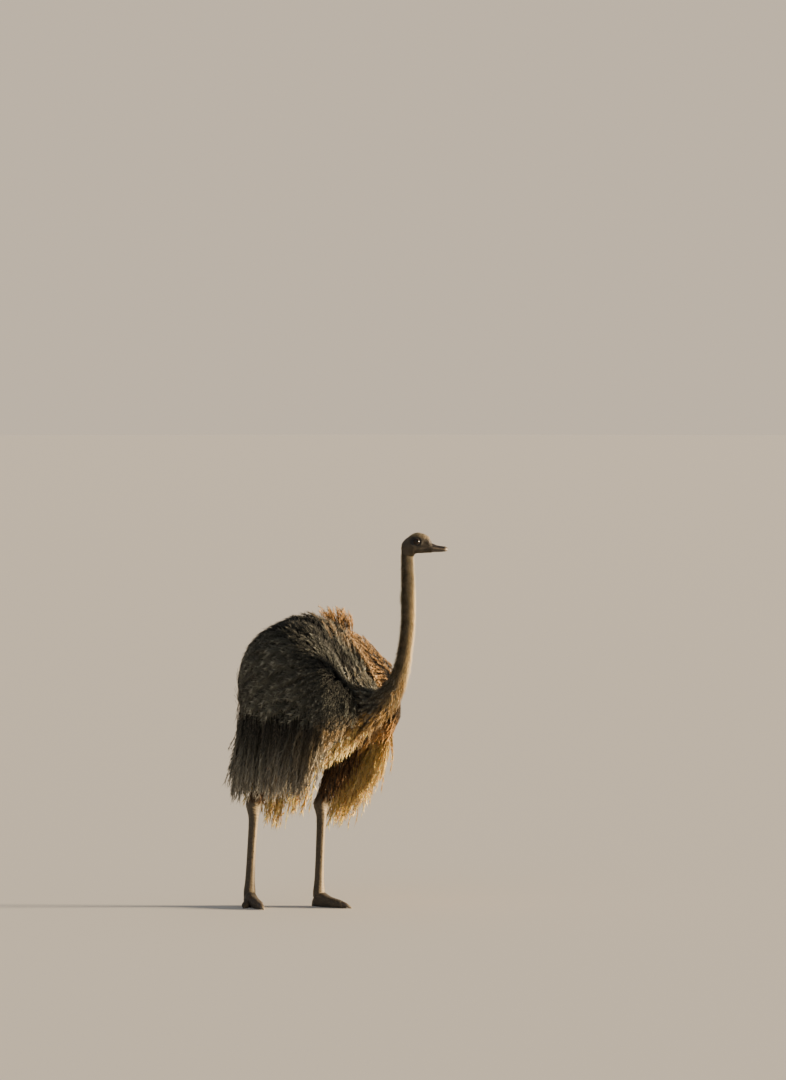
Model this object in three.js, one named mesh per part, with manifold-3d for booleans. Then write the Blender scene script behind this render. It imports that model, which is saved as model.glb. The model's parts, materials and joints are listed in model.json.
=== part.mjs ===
// A life-size ostrich hen, standing at ease with its head turned to its left.
// Millimetres, +Z up. The bird faces +X and its left side is +Y.
// Every fleshy form is a loft through named sections. Thin gaps part the body where a person would
// name its parts. The solids reach out to the tips of the plumage.
import * as THREE from "three";
import { mergeVertices } from "three/addons/utils/BufferGeometryUtils.js";
import Module from "manifold-3d";

const wasm = await Module();
wasm.setup();

// ---------------------------------------------------------------- driving dimensions
const GAP = 0.4; // clear space between neighbouring pieces
const HEAD_TURN = 45; // how far the head looks to the left, in degrees
const LEFT_FOOT = [156, 76]; // the ankles' places over the floor: the left leg is the forward one
const RIGHT_FOOT = [-70, -145];
const ANKLE_HEIGHT = 62; // the joint above the toes
const HOCK_HEIGHT = 470; // the joint that looks like a backward knee
const KNEE_HEIGHT = 850; // hidden in the flank
const TOE_LENGTH = 150; // the big toe, from the ankle forward, without its claw
const CLAW_LENGTH = 48;
const EYE_RADIUS = 19;
const EYE_SPACING = 43; // between the centres of the two eyes

const SIDES_TRUNK = 22;
const SIDES_WING = 16;
const SIDES_PLUME = 6;
const SIDES_NECK = 16;
const SIDES_HEAD = 18;
const SIDES_BILL = 14;
const SIDES_LEG = 14;
const SIDES_TOE = 10;
const SIDES_CLAW = 8;

// ---------------------------------------------------------------- sections and lofts
const rad = (degrees) => (degrees * Math.PI) / 180;
const degreesOf = (rise, run) => (Math.atan2(rise, run) * 180) / Math.PI;

// A section lies across the body at `at`. It faces `heading` (0 is +X, turning to the left) and
// `pitch` (90 is straight up). `side`, `up` and `down` are its half sizes, and `square` its corners:
// 2 is an ellipse and more is squarer.
function section(at, heading, pitch, side, up, down, square = 2) {
  return [...at, heading, pitch, side, up, down, square];
}

// The directions of a section: left across it, dorsal up it, and forward through it.
function frameOf([, , , heading, pitch]) {
  const h = rad(heading);
  const p = rad(pitch);
  return {
    left: new THREE.Vector3(-Math.sin(h), Math.cos(h), 0),
    dorsal: new THREE.Vector3(-Math.sin(p) * Math.cos(h), -Math.sin(p) * Math.sin(h), Math.cos(p)),
    forward: new THREE.Vector3(Math.cos(p) * Math.cos(h), Math.cos(p) * Math.sin(h), Math.sin(p)),
  };
}

// A section's outline as points, counted from its left side over its top.
function ring(values, sides, grow = 0) {
  const [x, y, z, , , side, up, down, square] = values;
  const { left, dorsal } = frameOf(values);
  const bend = (v) => Math.sign(v) * Math.abs(v) ** (2 / square);
  return Array.from({ length: sides }, (_, k) => {
    const turn = (2 * Math.PI * (k + 0.5)) / sides;
    const across = (side + grow) * bend(Math.cos(turn));
    const height = Math.sin(turn) > 0 ? up + grow : down + grow;
    const along = height * bend(Math.sin(turn));
    return new THREE.Vector3(x, y, z).addScaledVector(left, across).addScaledVector(dorsal, along);
  });
}

// Values between sections, on a smooth curve through all of them (a Hermite spline whose slopes are
// the mean slopes round each section).
function between(sections, t) {
  const last = sections.length - 1;
  const i = Math.min(Math.floor(t), last - 1);
  const f = t - i;
  const slope = (k) => (n) =>
    (sections[Math.min(k + 1, last)][n] - sections[Math.max(k - 1, 0)][n]) /
    (Math.min(k + 1, last) - Math.max(k - 1, 0));
  return sections[i].map((a, n) => {
    const b = sections[i + 1][n];
    const from = slope(i)(n);
    const to = slope(i + 1)(n);
    return (
      a * (2 * f ** 3 - 3 * f ** 2 + 1) +
      from * (f ** 3 - 2 * f ** 2 + f) +
      b * (3 * f ** 2 - 2 * f ** 3) +
      to * (f ** 3 - f ** 2)
    );
  });
}

// A closed skin through rings of the same number of points, fanned shut at both ends.
function skinOver(rings) {
  const sides = rings[0].length;
  const points = rings.flat();
  const faces = [];
  for (let i = 0; i < rings.length - 1; i++) {
    for (let k = 0; k < sides; k++) {
      const a = i * sides + k;
      const b = i * sides + ((k + 1) % sides);
      faces.push(a, b, a + sides, b, b + sides, a + sides);
    }
  }
  const middle = (r) => r.reduce((sum, p) => sum.add(p), new THREE.Vector3()).divideScalar(sides);
  const first = points.push(middle(rings[0])) - 1;
  const end = points.push(middle(rings.at(-1))) - 1;
  const lastRing = (rings.length - 1) * sides;
  for (let k = 0; k < sides; k++) {
    const next = (k + 1) % sides;
    faces.push(first, next, k, end, lastRing + k, lastRing + next);
  }
  return new THREE.BufferGeometry().setFromPoints(points).setIndex(faces);
}

// A loft through the sections from position `from` to `to`, with `steps` bands, as a solid.
function loft(sections, sides, { from = 0, to = sections.length - 1, steps, grow = 0 } = {}) {
  const bands = steps ?? Math.round((to - from) * 2);
  const rings = Array.from({ length: bands + 1 }, (_, i) =>
    ring(between(sections, from + ((to - from) * i) / bands), sides, grow),
  );
  return solid(skinOver(rings));
}

// ---------------------------------------------------------------- solids
function solid(geometry) {
  const bare = geometry.clone();
  bare.deleteAttribute("normal");
  bare.deleteAttribute("uv");
  const merged = mergeVertices(bare, 1e-4);
  const made = new wasm.Manifold(
    new wasm.Mesh({
      numProp: 3,
      vertProperties: new Float32Array(merged.attributes.position.array),
      triVerts: new Uint32Array(merged.index.array),
    }),
  );
  if (made.volume() <= 0) throw new Error("a loft is inside out");
  return made;
}

function largest(made) {
  return made.decompose().sort((a, b) => b.volume() - a.volume())[0];
}

function join(solids) {
  return solids.reduce((a, b) => a.add(b));
}

function cutBy(made, others) {
  return largest(others.reduce((a, b) => a.subtract(b), made));
}

// Everything below the floor, so that a foot's pads end on one flat level.
function flatFooted(made) {
  const slab = new THREE.BoxGeometry(2000, 2000, 100).translate(0, 0, -50);
  return largest(made.subtract(solid(slab)));
}

function ellipsoid([x, y, z], [a, b, c], turnY = 0, detail = [24, 14]) {
  const ball = new THREE.SphereGeometry(1, ...detail).scale(a, b, c);
  return solid(ball.rotateY(rad(turnY)).translate(x, y, z));
}

function meshOf(made, name, material) {
  const { vertProperties, triVerts } = made.getMesh();
  const geometry = new THREE.BufferGeometry();
  geometry.setAttribute("position", new THREE.BufferAttribute(vertProperties, 3));
  geometry.setIndex(new THREE.BufferAttribute(triVerts, 1));
  geometry.computeVertexNormals();
  const mesh = new THREE.Mesh(geometry, material);
  mesh.name = name;
  return mesh;
}

// ---------------------------------------------------------------- materials
const matte = (color, roughness) =>
  new THREE.MeshStandardMaterial({ color, roughness, metalness: 0 });
const PLUMAGE = matte(0x5d5247, 0.95);
const PLUME_TIPS = matte(0x857462, 0.95);
const NECK_DOWN = matte(0x8a7d6e, 0.9);
const BARE_SKIN = matte(0x8e8071, 0.75);
const HORN = matte(0x6a6056, 0.5);
const EYE = matte(0x24160d, 0.1);

// ---------------------------------------------------------------- trunk, neck and head sections
// Rear to front, out to the tips of the body feathers.
const TRUNK = [
  section([-262, 0, 1010], 0, 0, 14, 20, 26),
  section([-245, 0, 1008], 0, 0, 46, 74, 104),
  section([-195, 0, 1000], 0, 0, 96, 142, 190, 2.1),
  section([-105, 0, 990], 0, 0, 154, 232, 268, 2.2),
  section([10, 0, 980], 0, 0, 204, 322, 318, 2.2), // hips
  section([125, 0, 972], 0, 0, 222, 376, 328, 2.2), // top of the back
  section([235, 0, 966], 0, 0, 218, 364, 318, 2.2),
  section([340, 0, 958], 0, 0, 190, 276, 276, 2.2), // shoulders
  section([430, 0, 950], 0, 0, 152, 194, 210, 2.1), // breast
  section([510, 0, 940], 0, 5, 112, 124, 136),
  section([575, 4, 936], 4, 15, 84, 86, 88), // root of the neck
];
const NECK = [
  TRUNK.at(-1),
  section([632, 18, 960], 12, 40, 64, 62, 62),
  section([672, 38, 1014], 20, 64, 49, 45, 49),
  section([698, 58, 1090], 27, 78, 39, 36, 38),
  section([713, 72, 1190], 32, 86, 32, 30, 31),
  section([722, 80, 1310], 36, 89, 29, 29, 30),
  section([721, 84, 1435], 40, 92, 29, 30, 30),
  section([717, 86, 1540], 43, 91, 28, 29, 28),
  section([716, 88, 1604], 45, 90, 29, 29, 27),
];

// The head's sections fan round a point at the throat, from level across the neck to upright
// across the cheeks, and then run forward to the root of the bill.
const THROAT = new THREE.Vector3(736, 108, 1606);
const FACING = new THREE.Vector3(Math.cos(rad(HEAD_TURN)), Math.sin(rad(HEAD_TURN)), 0);

// `pitch` turns the section round the throat; `height` and `side` are its sizes.
function fanSection(pitch, height, side, square) {
  const { dorsal } = frameOf([0, 0, 0, HEAD_TURN, pitch]);
  const at = THROAT.clone().addScaledVector(dorsal, height / 2 + 3);
  return section(at.toArray(), HEAD_TURN, pitch, side, height / 2, height / 2, square);
}

// An upright section `ahead` of the throat, between the heights `low` and `high`.
function faceSection(ahead, low, high, side, square) {
  const at = THROAT.clone().addScaledVector(FACING, ahead).setZ((low + high) / 2);
  const half = (high - low) / 2;
  return section(at.toArray(), HEAD_TURN, 0, side, half, half, square);
}

const HEAD = [
  fanSection(90, 56, 29, 2),
  fanSection(66, 62, 31.5, 2),
  fanSection(42, 80, 35, 2),
  fanSection(18, 90, 38, 2.1),
  faceSection(8, 1619, 1711, 38.5, 2.2), // across the eyes
  faceSection(34, 1621, 1710, 36.5, 2.2),
  faceSection(60, 1623, 1699, 32, 2.2),
  faceSection(81, 1624, 1680, 28.5, 2.2),
];

const BILL_ROOT = 81.8; // ahead of the throat
const BILL_LENGTH = 69;
// The mouth line falls gently to the tip.
const mouthLine = (ahead) => 1646 - 0.13 * (ahead - BILL_ROOT);

// The bill narrows to a broad round tip: half its width at a share `t` of its length.
const billHalfWidth = (t) => 28.5 * (1 - 0.42 * t) * Math.sqrt(1 - Math.max(0, (t - 0.72) / 0.29) ** 2.4);

function billHalf(topAt, bottomAt, share) {
  const rows = [0, 0.2, 0.4, 0.6, 0.75, 0.87, 0.95, 0.99];
  return rows.map((t) => {
    const ahead = BILL_ROOT + BILL_LENGTH * share * t;
    return faceSection(ahead, bottomAt(ahead, t), topAt(ahead, t), billHalfWidth(t), 2.3);
  });
}

function bills() {
  // The ridge dips below the forehead, runs on nearly level and ends blunt.
  const ridge = (ahead, t) => 1672 - 18 * (1 - Math.exp(-t / 0.16)) - 4 * t - 6 * t ** 8;
  const keel = (ahead, t) => 1625 + 2 * t + 5 * t ** 6;
  const upper = billHalf(ridge, (ahead) => mouthLine(ahead) + GAP / 2, 1);
  const lower = billHalf((ahead) => mouthLine(ahead) - GAP / 2, keel, 0.95);
  return {
    bill_upper: loft(upper, SIDES_BILL, { steps: 8 }),
    bill_lower: loft(lower, SIDES_BILL, { steps: 8 }),
  };
}

// ---------------------------------------------------------------- eyes
function eyeCentre(side) {
  const { left } = frameOf([0, 0, 0, HEAD_TURN, 0]);
  return THROAT.clone()
    .addScaledVector(FACING, 9)
    .addScaledVector(left, (side * EYE_SPACING) / 2)
    .setZ(1674);
}

function eyeBall(side, grow = 0) {
  const r = EYE_RADIUS + grow;
  return ellipsoid(eyeCentre(side).toArray(), [r, r, r], 0, [14, 8]);
}

// ---------------------------------------------------------------- legs and feet
// `side` is +1 for the left leg and -1 for the right.
const LEGS = [
  { name: "left", side: 1, foot: LEFT_FOOT, hock: [150, 100], knee: [330, 142], turnOut: 12 },
  { name: "right", side: -1, foot: RIGHT_FOOT, hock: [-32, -152], knee: [190, -150], turnOut: -22 },
];

function legSections({ foot, hock, knee }) {
  // A level section of the leg on the line from `low` to `high`: the sizes are half the width and
  // half the depth fore and aft.
  const across = (low, high, share, z, half, fore, aft, pitch = 90) => {
    const at = low.map((value, axis) => value + (high[axis] - value) * share);
    return section([...at, z], 0, pitch, half, aft, fore);
  };
  return [
    across(foot, hock, 0, 44, 27, 30, 30),
    across(foot, hock, 0, ANKLE_HEIGHT + 12, 27, 28, 27),
    across(foot, hock, 0.1, 130, 21, 24, 23),
    across(foot, hock, 0.45, 270, 18.5, 23, 22),
    across(foot, hock, 0.85, 400, 21, 26, 25),
    across(hock, knee, 0, HOCK_HEIGHT, 33, 33, 40, 84),
    across(hock, knee, 0.15, 540, 29, 29, 34, 62),
    across(hock, knee, 0.46, 660, 48, 54, 58, 62),
    across(hock, knee, 0.74, 760, 60, 78, 80, 64), // drumstick
    across(hock, knee, 1, KNEE_HEIGHT, 50, 66, 70, 70),
  ];
}

// Where the leg is parted, as positions along legSections. A gap's share of a position is small
// because the sections lie 70 mm to 140 mm apart there.
const AT_HOCK = 5;
const HOCK_GAP = GAP / 140;
const SHANK_SPAN = { from: 0, to: AT_HOCK - HOCK_GAP, steps: 10 };
const THIGH_SPAN = { from: AT_HOCK + HOCK_GAP, to: 9, steps: 8 };

function toeSections({ foot }, heading, length, half, heights, start) {
  const h = rad(heading);
  const root = new THREE.Vector3(...foot, 0);
  const toe = (share, halfWidth, height) => {
    const ahead = start + (length - start) * share;
    const at = root.clone().add(new THREE.Vector3(Math.cos(h) * ahead, Math.sin(h) * ahead, height / 2 - 2));
    return section(at.toArray(), heading, 0, halfWidth, height / 2 + 2, height / 2 + 2, 2.3);
  };
  return heights.map((height, i) => {
    const share = i / (heights.length - 1);
    return toe(share, half * toeTaper(share), height);
  });
}

// A toe starts round, keeps its width along the pads and rounds off at the tip.
const toeTaper = (share) => Math.sqrt(1 - Math.abs(2 * share - 1) ** 5) * 0.86 + 0.14 - 0.28 * share;

const BIG_TOE_HEIGHTS = [24, 56, 72, 62, 50, 43, 38, 31, 15];
const SMALL_TOE_HEIGHTS = [36, 44, 40, 33, 28, 23, 12];

function bigToe(leg) {
  return toeSections(leg, leg.turnOut, TOE_LENGTH, 30, BIG_TOE_HEIGHTS, -36);
}

function smallToe(leg) {
  return toeSections(leg, leg.turnOut + leg.side * 36, 104, 20, SMALL_TOE_HEIGHTS, 0);
}

function clawSections({ foot, turnOut }) {
  const h = rad(turnOut);
  const claw = (ahead, half, height, lift) => {
    const at = [foot[0] + Math.cos(h) * ahead, foot[1] + Math.sin(h) * ahead, lift + height / 2];
    return section(at, turnOut, 0, half, height / 2, height / 2, 2.2);
  };
  const from = TOE_LENGTH - 18;
  return [
    claw(from, 13, 22, 8),
    claw(from + CLAW_LENGTH * 0.35, 12, 20, 4),
    claw(from + CLAW_LENGTH * 0.7, 9, 13, 1),
    claw(from + CLAW_LENGTH, 2.5, 4, 0.5),
  ];
}

function legPieces(leg) {
  const sections = legSections(leg);
  const shank = loft(sections, SIDES_LEG, SHANK_SPAN);
  const thigh = loft(sections, SIDES_LEG, THIGH_SPAN);
  const toe = (s, grow) => flatFooted(loft(s, SIDES_TOE, { steps: 10, grow }));
  const claw = flatFooted(loft(clawSections(leg), SIDES_CLAW, { steps: 4 }));
  const clawRoom = loft(clawSections(leg), SIDES_CLAW, { steps: 4, grow: GAP });
  const big = cutBy(toe(bigToe(leg), 0), [clawRoom]);
  const bigRoom = loft(bigToe(leg), SIDES_TOE, { steps: 10, grow: GAP });
  const small = cutBy(toe(smallToe(leg), 0), [bigRoom]);
  const smallRoom = loft(smallToe(leg), SIDES_TOE, { steps: 10, grow: GAP });
  return {
    [`thigh_${leg.name}`]: thigh,
    [`shank_${leg.name}`]: cutBy(shank, [bigRoom, smallRoom]),
    [`toe_inner_${leg.name}`]: big,
    [`toe_outer_${leg.name}`]: small,
    [`claw_${leg.name}`]: claw,
  };
}

const thighRoom = (leg) => loft(legSections(leg), SIDES_LEG, { ...THIGH_SPAN, grow: GAP });

// ---------------------------------------------------------------- wings and tail
// The folded wing lies over the flank like a shell. Rear to front: how far along the body, how far
// out its middle is, half its thickness, its middle's height, and how far it reaches up and down.
const WING_SHELL = [
  [-240, 20, 10, 1010, 40, 70],
  [-200, 44, 38, 1012, 95, 140],
  [-120, 88, 72, 1018, 160, 215],
  [-20, 118, 108, 1022, 226, 255],
  [90, 138, 128, 1028, 266, 275],
  [200, 150, 130, 1028, 268, 275],
  [310, 154, 126, 1020, 222, 258],
  [400, 160, 108, 1005, 166, 226],
  [455, 172, 88, 987, 146, 194],
  [505, 170, 64, 966, 116, 148],
  [556, 116, 34, 950, 66, 82],
];

// The long plumes hang along the wing's lower edge. Rear to front: how far each falls, and how far
// it trails back. The left wing is held a little off the body, so that its plumes trail further.
// The plumes before the first number of `groups` are the rear plumes, those from the second number
// on are the front plumes, and short ones between them belong to the wing.
const WINGS = {
  left: {
    side: 1,
    off: 20,
    falls: [560, 620, 540, 300, 250, 590, 550, 470, 395, 320],
    trails: [50, 110, 104, 66, 60, 162, 176, 155, 130, 76],
    groups: [3, 5],
  },
  right: {
    side: -1,
    off: 0,
    falls: [455, 475, 405, 430, 412, 428, 395, 412, 390, 250],
    trails: [104, 84, 66, 64, 70, 76, 80, 85, 82, 70],
    groups: [5, 5],
  },
};
const TAIL_PLUMES = 5;

// A hanging plume: flat, widest before its middle, and leaning back as it falls. `half` is its half
// size along `heading` and `thick` is the one across it.
function plume(root, { fall, trail, spread, half, thick, heading = 0, grow = 0 }) {
  const steps = 4;
  const lean = degreesOf(trail * Math.cos(rad(heading)), fall);
  const sections = Array.from({ length: steps + 1 }, (_, i) => {
    const t = i / steps;
    const back = trail * (0.7 * t + 0.3 * t * t);
    const swell = Math.sqrt(Math.sin(Math.PI * (0.16 + 0.8 * t))) * (1 - 0.35 * t * t);
    const at = [root[0] - back, root[1] + spread * t, root[2] - fall * t];
    return section(at, heading, -90 - lean, thick * swell + 1.2, half * swell, half * swell);
  });
  return loft(sections, SIDES_PLUME, { steps, grow });
}

// A wing's shell and its two groups of plumes, all of them larger by `grow`.
function wing({ side, off, falls, trails, groups: [rearEnd, frontStart] }, grow = 0) {
  const shell = WING_SHELL.map(([x, out, half, z, up, down], i) =>
    section([x, side * (out + off * Math.min(i / 8, 1)), z], 0, 0, half, up, down, 2.1),
  );
  // A point a little inside the shell's outer face, low down, where a plume starts.
  const edge = (position) => {
    const [x, y, z, , , half, , down] = between(shell, position);
    return [x, y + side * (half - 26), z - down * 0.42];
  };
  const plumes = falls.map((fall, i) => {
    const position = 1.4 + (7.2 * i) / (falls.length - 1);
    const [before, after] = [edge(position - 0.3), edge(position + 0.3)];
    return plume(edge(position), {
      fall: fall - 24,
      trail: trails[i],
      spread: side * -18,
      half: 62,
      thick: 16,
      heading: degreesOf(after[1] - before[1], after[0] - before[0]),
      grow,
    });
  });
  return {
    shell: join([loft(shell, SIDES_WING, { steps: 12, grow }), ...plumes.slice(rearEnd, frontStart)]),
    rear: join(plumes.slice(0, rearEnd)),
    front: join(plumes.slice(frontStart)),
  };
}

// A few shoulder feathers stand up off the left wing.
function ruffledFeathers() {
  const tufts = [
    [176, 140, 104],
    [222, 146, 116],
    [268, 150, 100],
  ];
  return tufts.map(([x, y, length]) => {
    const rise = (t) => section([x - 46 * t * t, y, 1262 + length * t], 20, 90, 12 - 9 * t, 26 - 20 * t, 26 - 20 * t);
    return loft([rise(0), rise(0.5), rise(1)], 8, { steps: 3 });
  });
}

function tail(grow = 0) {
  const root = ellipsoid([-222, 0, 1000], [36 + grow, 52 + grow, 90 + grow], 20, [12, 8]);
  const plumes = Array.from({ length: TAIL_PLUMES }, (_, i) => {
    const t = (2 * i) / (TAIL_PLUMES - 1) - 1; // -1 at the right, 1 at the left
    return plume([-236 + 22 * t * t, 36 * t, 985 - 20 * t * t], {
      fall: 410 - 70 * t * t,
      trail: 36 - 14 * t * t,
      spread: 26 * t,
      half: 24,
      thick: 24,
      grow,
    });
  });
  return join([root, ...plumes]);
}

// ---------------------------------------------------------------- the whole bird
const bird = new THREE.Group();
const add = (name, made, material) => bird.add(meshOf(made, name, material));

const trunk = loft(TRUNK, SIDES_TRUNK, { to: TRUNK.length - 1 - 0.01, steps: 14 });
const trunkRoom = loft(TRUNK, SIDES_TRUNK, { to: TRUNK.length - 1 - 0.01, steps: 14, grow: GAP });
const legRooms = LEGS.map(thighRoom);
add("trunk", trunk, PLUMAGE);

const NECK_LENGTHS = [
  ["neck_lower", 0.01, 2.99, 7],
  ["neck_middle", 3.01, 5.49, 5],
  ["neck_upper", 5.51, 7.99, 4],
];
for (const [name, from, to, steps] of NECK_LENGTHS) {
  add(name, loft(NECK, SIDES_NECK, { from, to, steps }), NECK_DOWN);
}

const sockets = [1, -1].map((side) => eyeBall(side, GAP));
add("head", cutBy(loft(HEAD, SIDES_HEAD, { from: 0.02, steps: 11 }), sockets), NECK_DOWN);
add("eye_left", eyeBall(1), EYE);
add("eye_right", eyeBall(-1), EYE);
for (const [name, made] of Object.entries(bills())) add(name, made, HORN);

for (const leg of LEGS) {
  for (const [name, made] of Object.entries(legPieces(leg))) {
    const isThigh = name.startsWith("thigh");
    const isClaw = name.startsWith("claw");
    add(name, isThigh ? cutBy(made, [trunkRoom]) : made, isClaw ? HORN : BARE_SKIN);
  }
}

add("tail", cutBy(tail(), [trunkRoom]), PLUME_TIPS);

// Feathers lie close without touching: what comes later is cut back from what is already there.
const bodyRooms = [trunkRoom, tail(GAP * 1.5), ...legRooms];
for (const [name, shape] of Object.entries(WINGS)) {
  const { shell, rear, front } = wing(shape);
  const room = wing(shape, GAP);
  const whole = name === "left" ? join([shell, ...ruffledFeathers()]) : shell;
  add(`wing_${name}`, cutBy(whole, bodyRooms), PLUMAGE);
  add(`plumes_${name}_rear`, cutBy(rear, [...bodyRooms, room.shell]), PLUME_TIPS);
  add(`plumes_${name}_front`, cutBy(front, [...bodyRooms, room.shell, room.rear]), PLUME_TIPS);
}

// The row's origin is the middle of the ground that the bird covers.
const box = new THREE.Box3().setFromObject(bird);
const middle = box.getCenter(new THREE.Vector3());
bird.position.set(-middle.x, -middle.y, -box.min.z);

export default bird;
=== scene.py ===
# %% [markdown]
# # An ostrich hen, life size
# A museum model of an ostrich hen, standing at ease with its head turned to its left. This lesson dresses
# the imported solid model: one skin with lids, scutes and wrinkles, eyes, a horny bill and claws, and a coat of
# loose plumes in which every barb is a thin closed solid.
# An ostrich feather has no hooks between its barbs, so it hangs in soft locks and doesn't lie as a flat vane.
# All measures below are millimetres, as in the solid model, until a mesh is made. The bird faces +X, its left
# side is +Y and +Z is up.

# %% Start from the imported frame
import json

import bpy
import numpy as np
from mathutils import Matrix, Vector

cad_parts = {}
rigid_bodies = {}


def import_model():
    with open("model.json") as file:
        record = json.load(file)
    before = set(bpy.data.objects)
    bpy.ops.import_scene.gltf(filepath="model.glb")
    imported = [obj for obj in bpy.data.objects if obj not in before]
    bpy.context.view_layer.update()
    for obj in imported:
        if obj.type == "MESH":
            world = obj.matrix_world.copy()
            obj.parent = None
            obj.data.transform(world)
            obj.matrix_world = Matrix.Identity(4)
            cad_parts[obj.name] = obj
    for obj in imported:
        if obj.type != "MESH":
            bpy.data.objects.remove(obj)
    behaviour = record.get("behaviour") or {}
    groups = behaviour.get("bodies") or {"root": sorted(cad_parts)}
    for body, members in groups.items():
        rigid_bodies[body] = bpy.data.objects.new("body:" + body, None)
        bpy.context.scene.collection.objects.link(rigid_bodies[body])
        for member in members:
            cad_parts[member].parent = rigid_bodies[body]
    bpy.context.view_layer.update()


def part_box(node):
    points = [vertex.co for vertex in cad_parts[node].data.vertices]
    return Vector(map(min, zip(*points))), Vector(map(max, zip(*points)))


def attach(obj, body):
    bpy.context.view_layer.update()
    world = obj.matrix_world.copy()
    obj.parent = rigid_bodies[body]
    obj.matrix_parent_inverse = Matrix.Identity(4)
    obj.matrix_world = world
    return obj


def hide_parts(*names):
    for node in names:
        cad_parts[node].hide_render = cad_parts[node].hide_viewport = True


for left_over in list(bpy.data.objects):
    bpy.data.objects.remove(left_over)
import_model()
chance = np.random.default_rng(7)

# %% [markdown]
# ## Where the solid model stands
# The design is drawn round the bird's own axis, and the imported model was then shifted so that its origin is
# the middle of the ground that it covers. The two eyes give that shift exactly: their middle is a known
# distance ahead of the throat, so the difference between the design and the frame is the shift.

# %% The head's directions and the shift
THROAT = np.array([736.0, 108.0, 1606.0])
EYE_AHEAD = 9.0
EYE_HEIGHT = 1674.0
EYE_OUT = 21.5
EYE_RADIUS = 19.0
FACING = np.array([np.cos(np.radians(45)), np.sin(np.radians(45)), 0.0])
LEFT = np.array([-FACING[1], FACING[0], 0.0])
UP = np.array([0.0, 0.0, 1.0])

eye_corners = [corner for side in ("left", "right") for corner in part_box("eye_" + side)]
between_eyes = np.mean([list(corner) for corner in eye_corners], axis=0) * 1000
SHIFT = between_eyes - (THROAT + EYE_AHEAD * FACING)
SHIFT[2] = between_eyes[2] - EYE_HEIGHT
print("the design is shifted by", SHIFT.round(2), "mm")

# %% [markdown]
# ## Smooth forms from few sections
# A body form is a loft: a row of oval sections, with a smooth curve carried through every one of their
# numbers. A section is its middle, the way it faces (`heading` round the vertical and `pitch` above the
# level), its half sizes to the side, up and down, how square it is, and how deep the coat is there.

# %% Numbers between sections
def unit(vectors):
    """Vectors of length one."""
    return vectors / np.maximum(np.linalg.norm(vectors, axis=-1, keepdims=True), 1e-9)


def smooth(low, high, value):
    """A step from 0 at low to 1 at high, with the S-shaped curve 3t^2 - 2t^3 between."""
    t = np.clip((value - low) / (high - low), 0, 1)
    return t * t * (3 - 2 * t)


def between(sections, position):
    """Sections at any position along a row of them: cubics that leave each one with the mean slope of its
    neighbours."""
    sections = np.asarray(sections, float)
    position = np.asarray(position, float)
    last = len(sections) - 1
    order = np.arange(last + 1)
    before = np.maximum(order - 1, 0)
    after = np.minimum(order + 1, last)
    slopes = (sections[after] - sections[before]) / (after - before)[:, None]
    i = np.clip(np.floor(position).astype(int), 0, last - 1)
    f = (position - i)[..., None]
    start = sections[i] * (2 * f**3 - 3 * f**2 + 1) + slopes[i] * (f**3 - 2 * f**2 + f)
    return start + sections[i + 1] * (3 * f**2 - 2 * f**3) + slopes[i + 1] * (f**3 - f**2)


print("halfway between 10 and 20:", between([[10.0], [20.0]], 0.5))

# %% [markdown]
# ## From a section to its points
# A real body is neither round nor square across, so each section is a superellipse, an oval that can be made
# squarer with one number. It could be drawn by hand point by point, but a formula lets the same sections
# give the bare skin, the roots of the feathers and the outline of the coat.

# %% Points round a section
def directions(heading, pitch):
    """Left, dorsal and forward directions of a section that faces heading and pitch, in degrees."""
    h = np.radians(heading)[..., None]
    p = np.radians(pitch)[..., None]
    x = np.array([1.0, 0.0, 0.0])
    y = np.array([0.0, 1.0, 0.0])
    level = np.cos(h) * x + np.sin(h) * y
    left = np.cos(h) * y - np.sin(h) * x
    return left, np.cos(p) * UP - np.sin(p) * level, np.cos(p) * level + np.sin(p) * UP


def turns_round(count):
    """Turns of evenly spaced points round a ring, half a step off its start."""
    return 2 * np.pi * (np.arange(count) + 0.5) / count


def squared(turn, power):
    """Cosine and sine of a turn, each raised to a power with its sign kept."""
    c = np.sign(np.cos(turn)) * np.abs(np.cos(turn)) ** power
    return c, np.sign(np.sin(turn)) * np.abs(np.sin(turn)) ** power


def around(sections, position, turn, bare=True):
    """The surface of a loft at a position along it and a turn round it, counted from its left over its top:
    middle + left * side * c + dorsal * (up or down) * s, with c and s the cosine and sine of the turn, raised
    to 2 / square. The bare skin lies inside by the coat's depth."""
    v = between(sections, position)
    turn = np.asarray(turn, float)
    left, dorsal, _ = directions(v[..., 3], v[..., 4])
    depth = v[..., 9] if bare else 0.0
    c, s = squared(turn, 2 / v[..., 8])
    across = (np.maximum(v[..., 5] - depth, 1) * c)[..., None]
    height = (np.maximum(np.where(np.sin(turn) > 0, v[..., 6], v[..., 7]) - depth, 1) * s)[..., None]
    return v[..., :3] + left * across + dorsal * height


print("the left of a section that faces +X is", directions(np.array(0.0), np.array(0.0))[0])

# %% [markdown]
# ## The torso, neck and head as one row of sections
# From the rump to the root of the bill the sections follow the body, climb the neck and then fan round a
# point at the throat, because the head sits at a right angle on the neck.

# %% Sections of the torso, neck and head
def fan(pitch, height, side, square, depth):
    """A section of the head that turns round the throat with its pitch."""
    _, dorsal, _ = directions(np.array(45.0), np.array(float(pitch)))
    at = THROAT + dorsal * (height / 2 + 3)
    return [*at, 45, pitch, side, height / 2, height / 2, square, depth]


def face(ahead, low, high, side, square, depth):
    """An upright section of the head, so far ahead of the throat, between two heights."""
    at = THROAT + FACING * ahead
    return [at[0], at[1], (low + high) / 2, 45, 0, side, (high - low) / 2, (high - low) / 2, square, depth]


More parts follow.
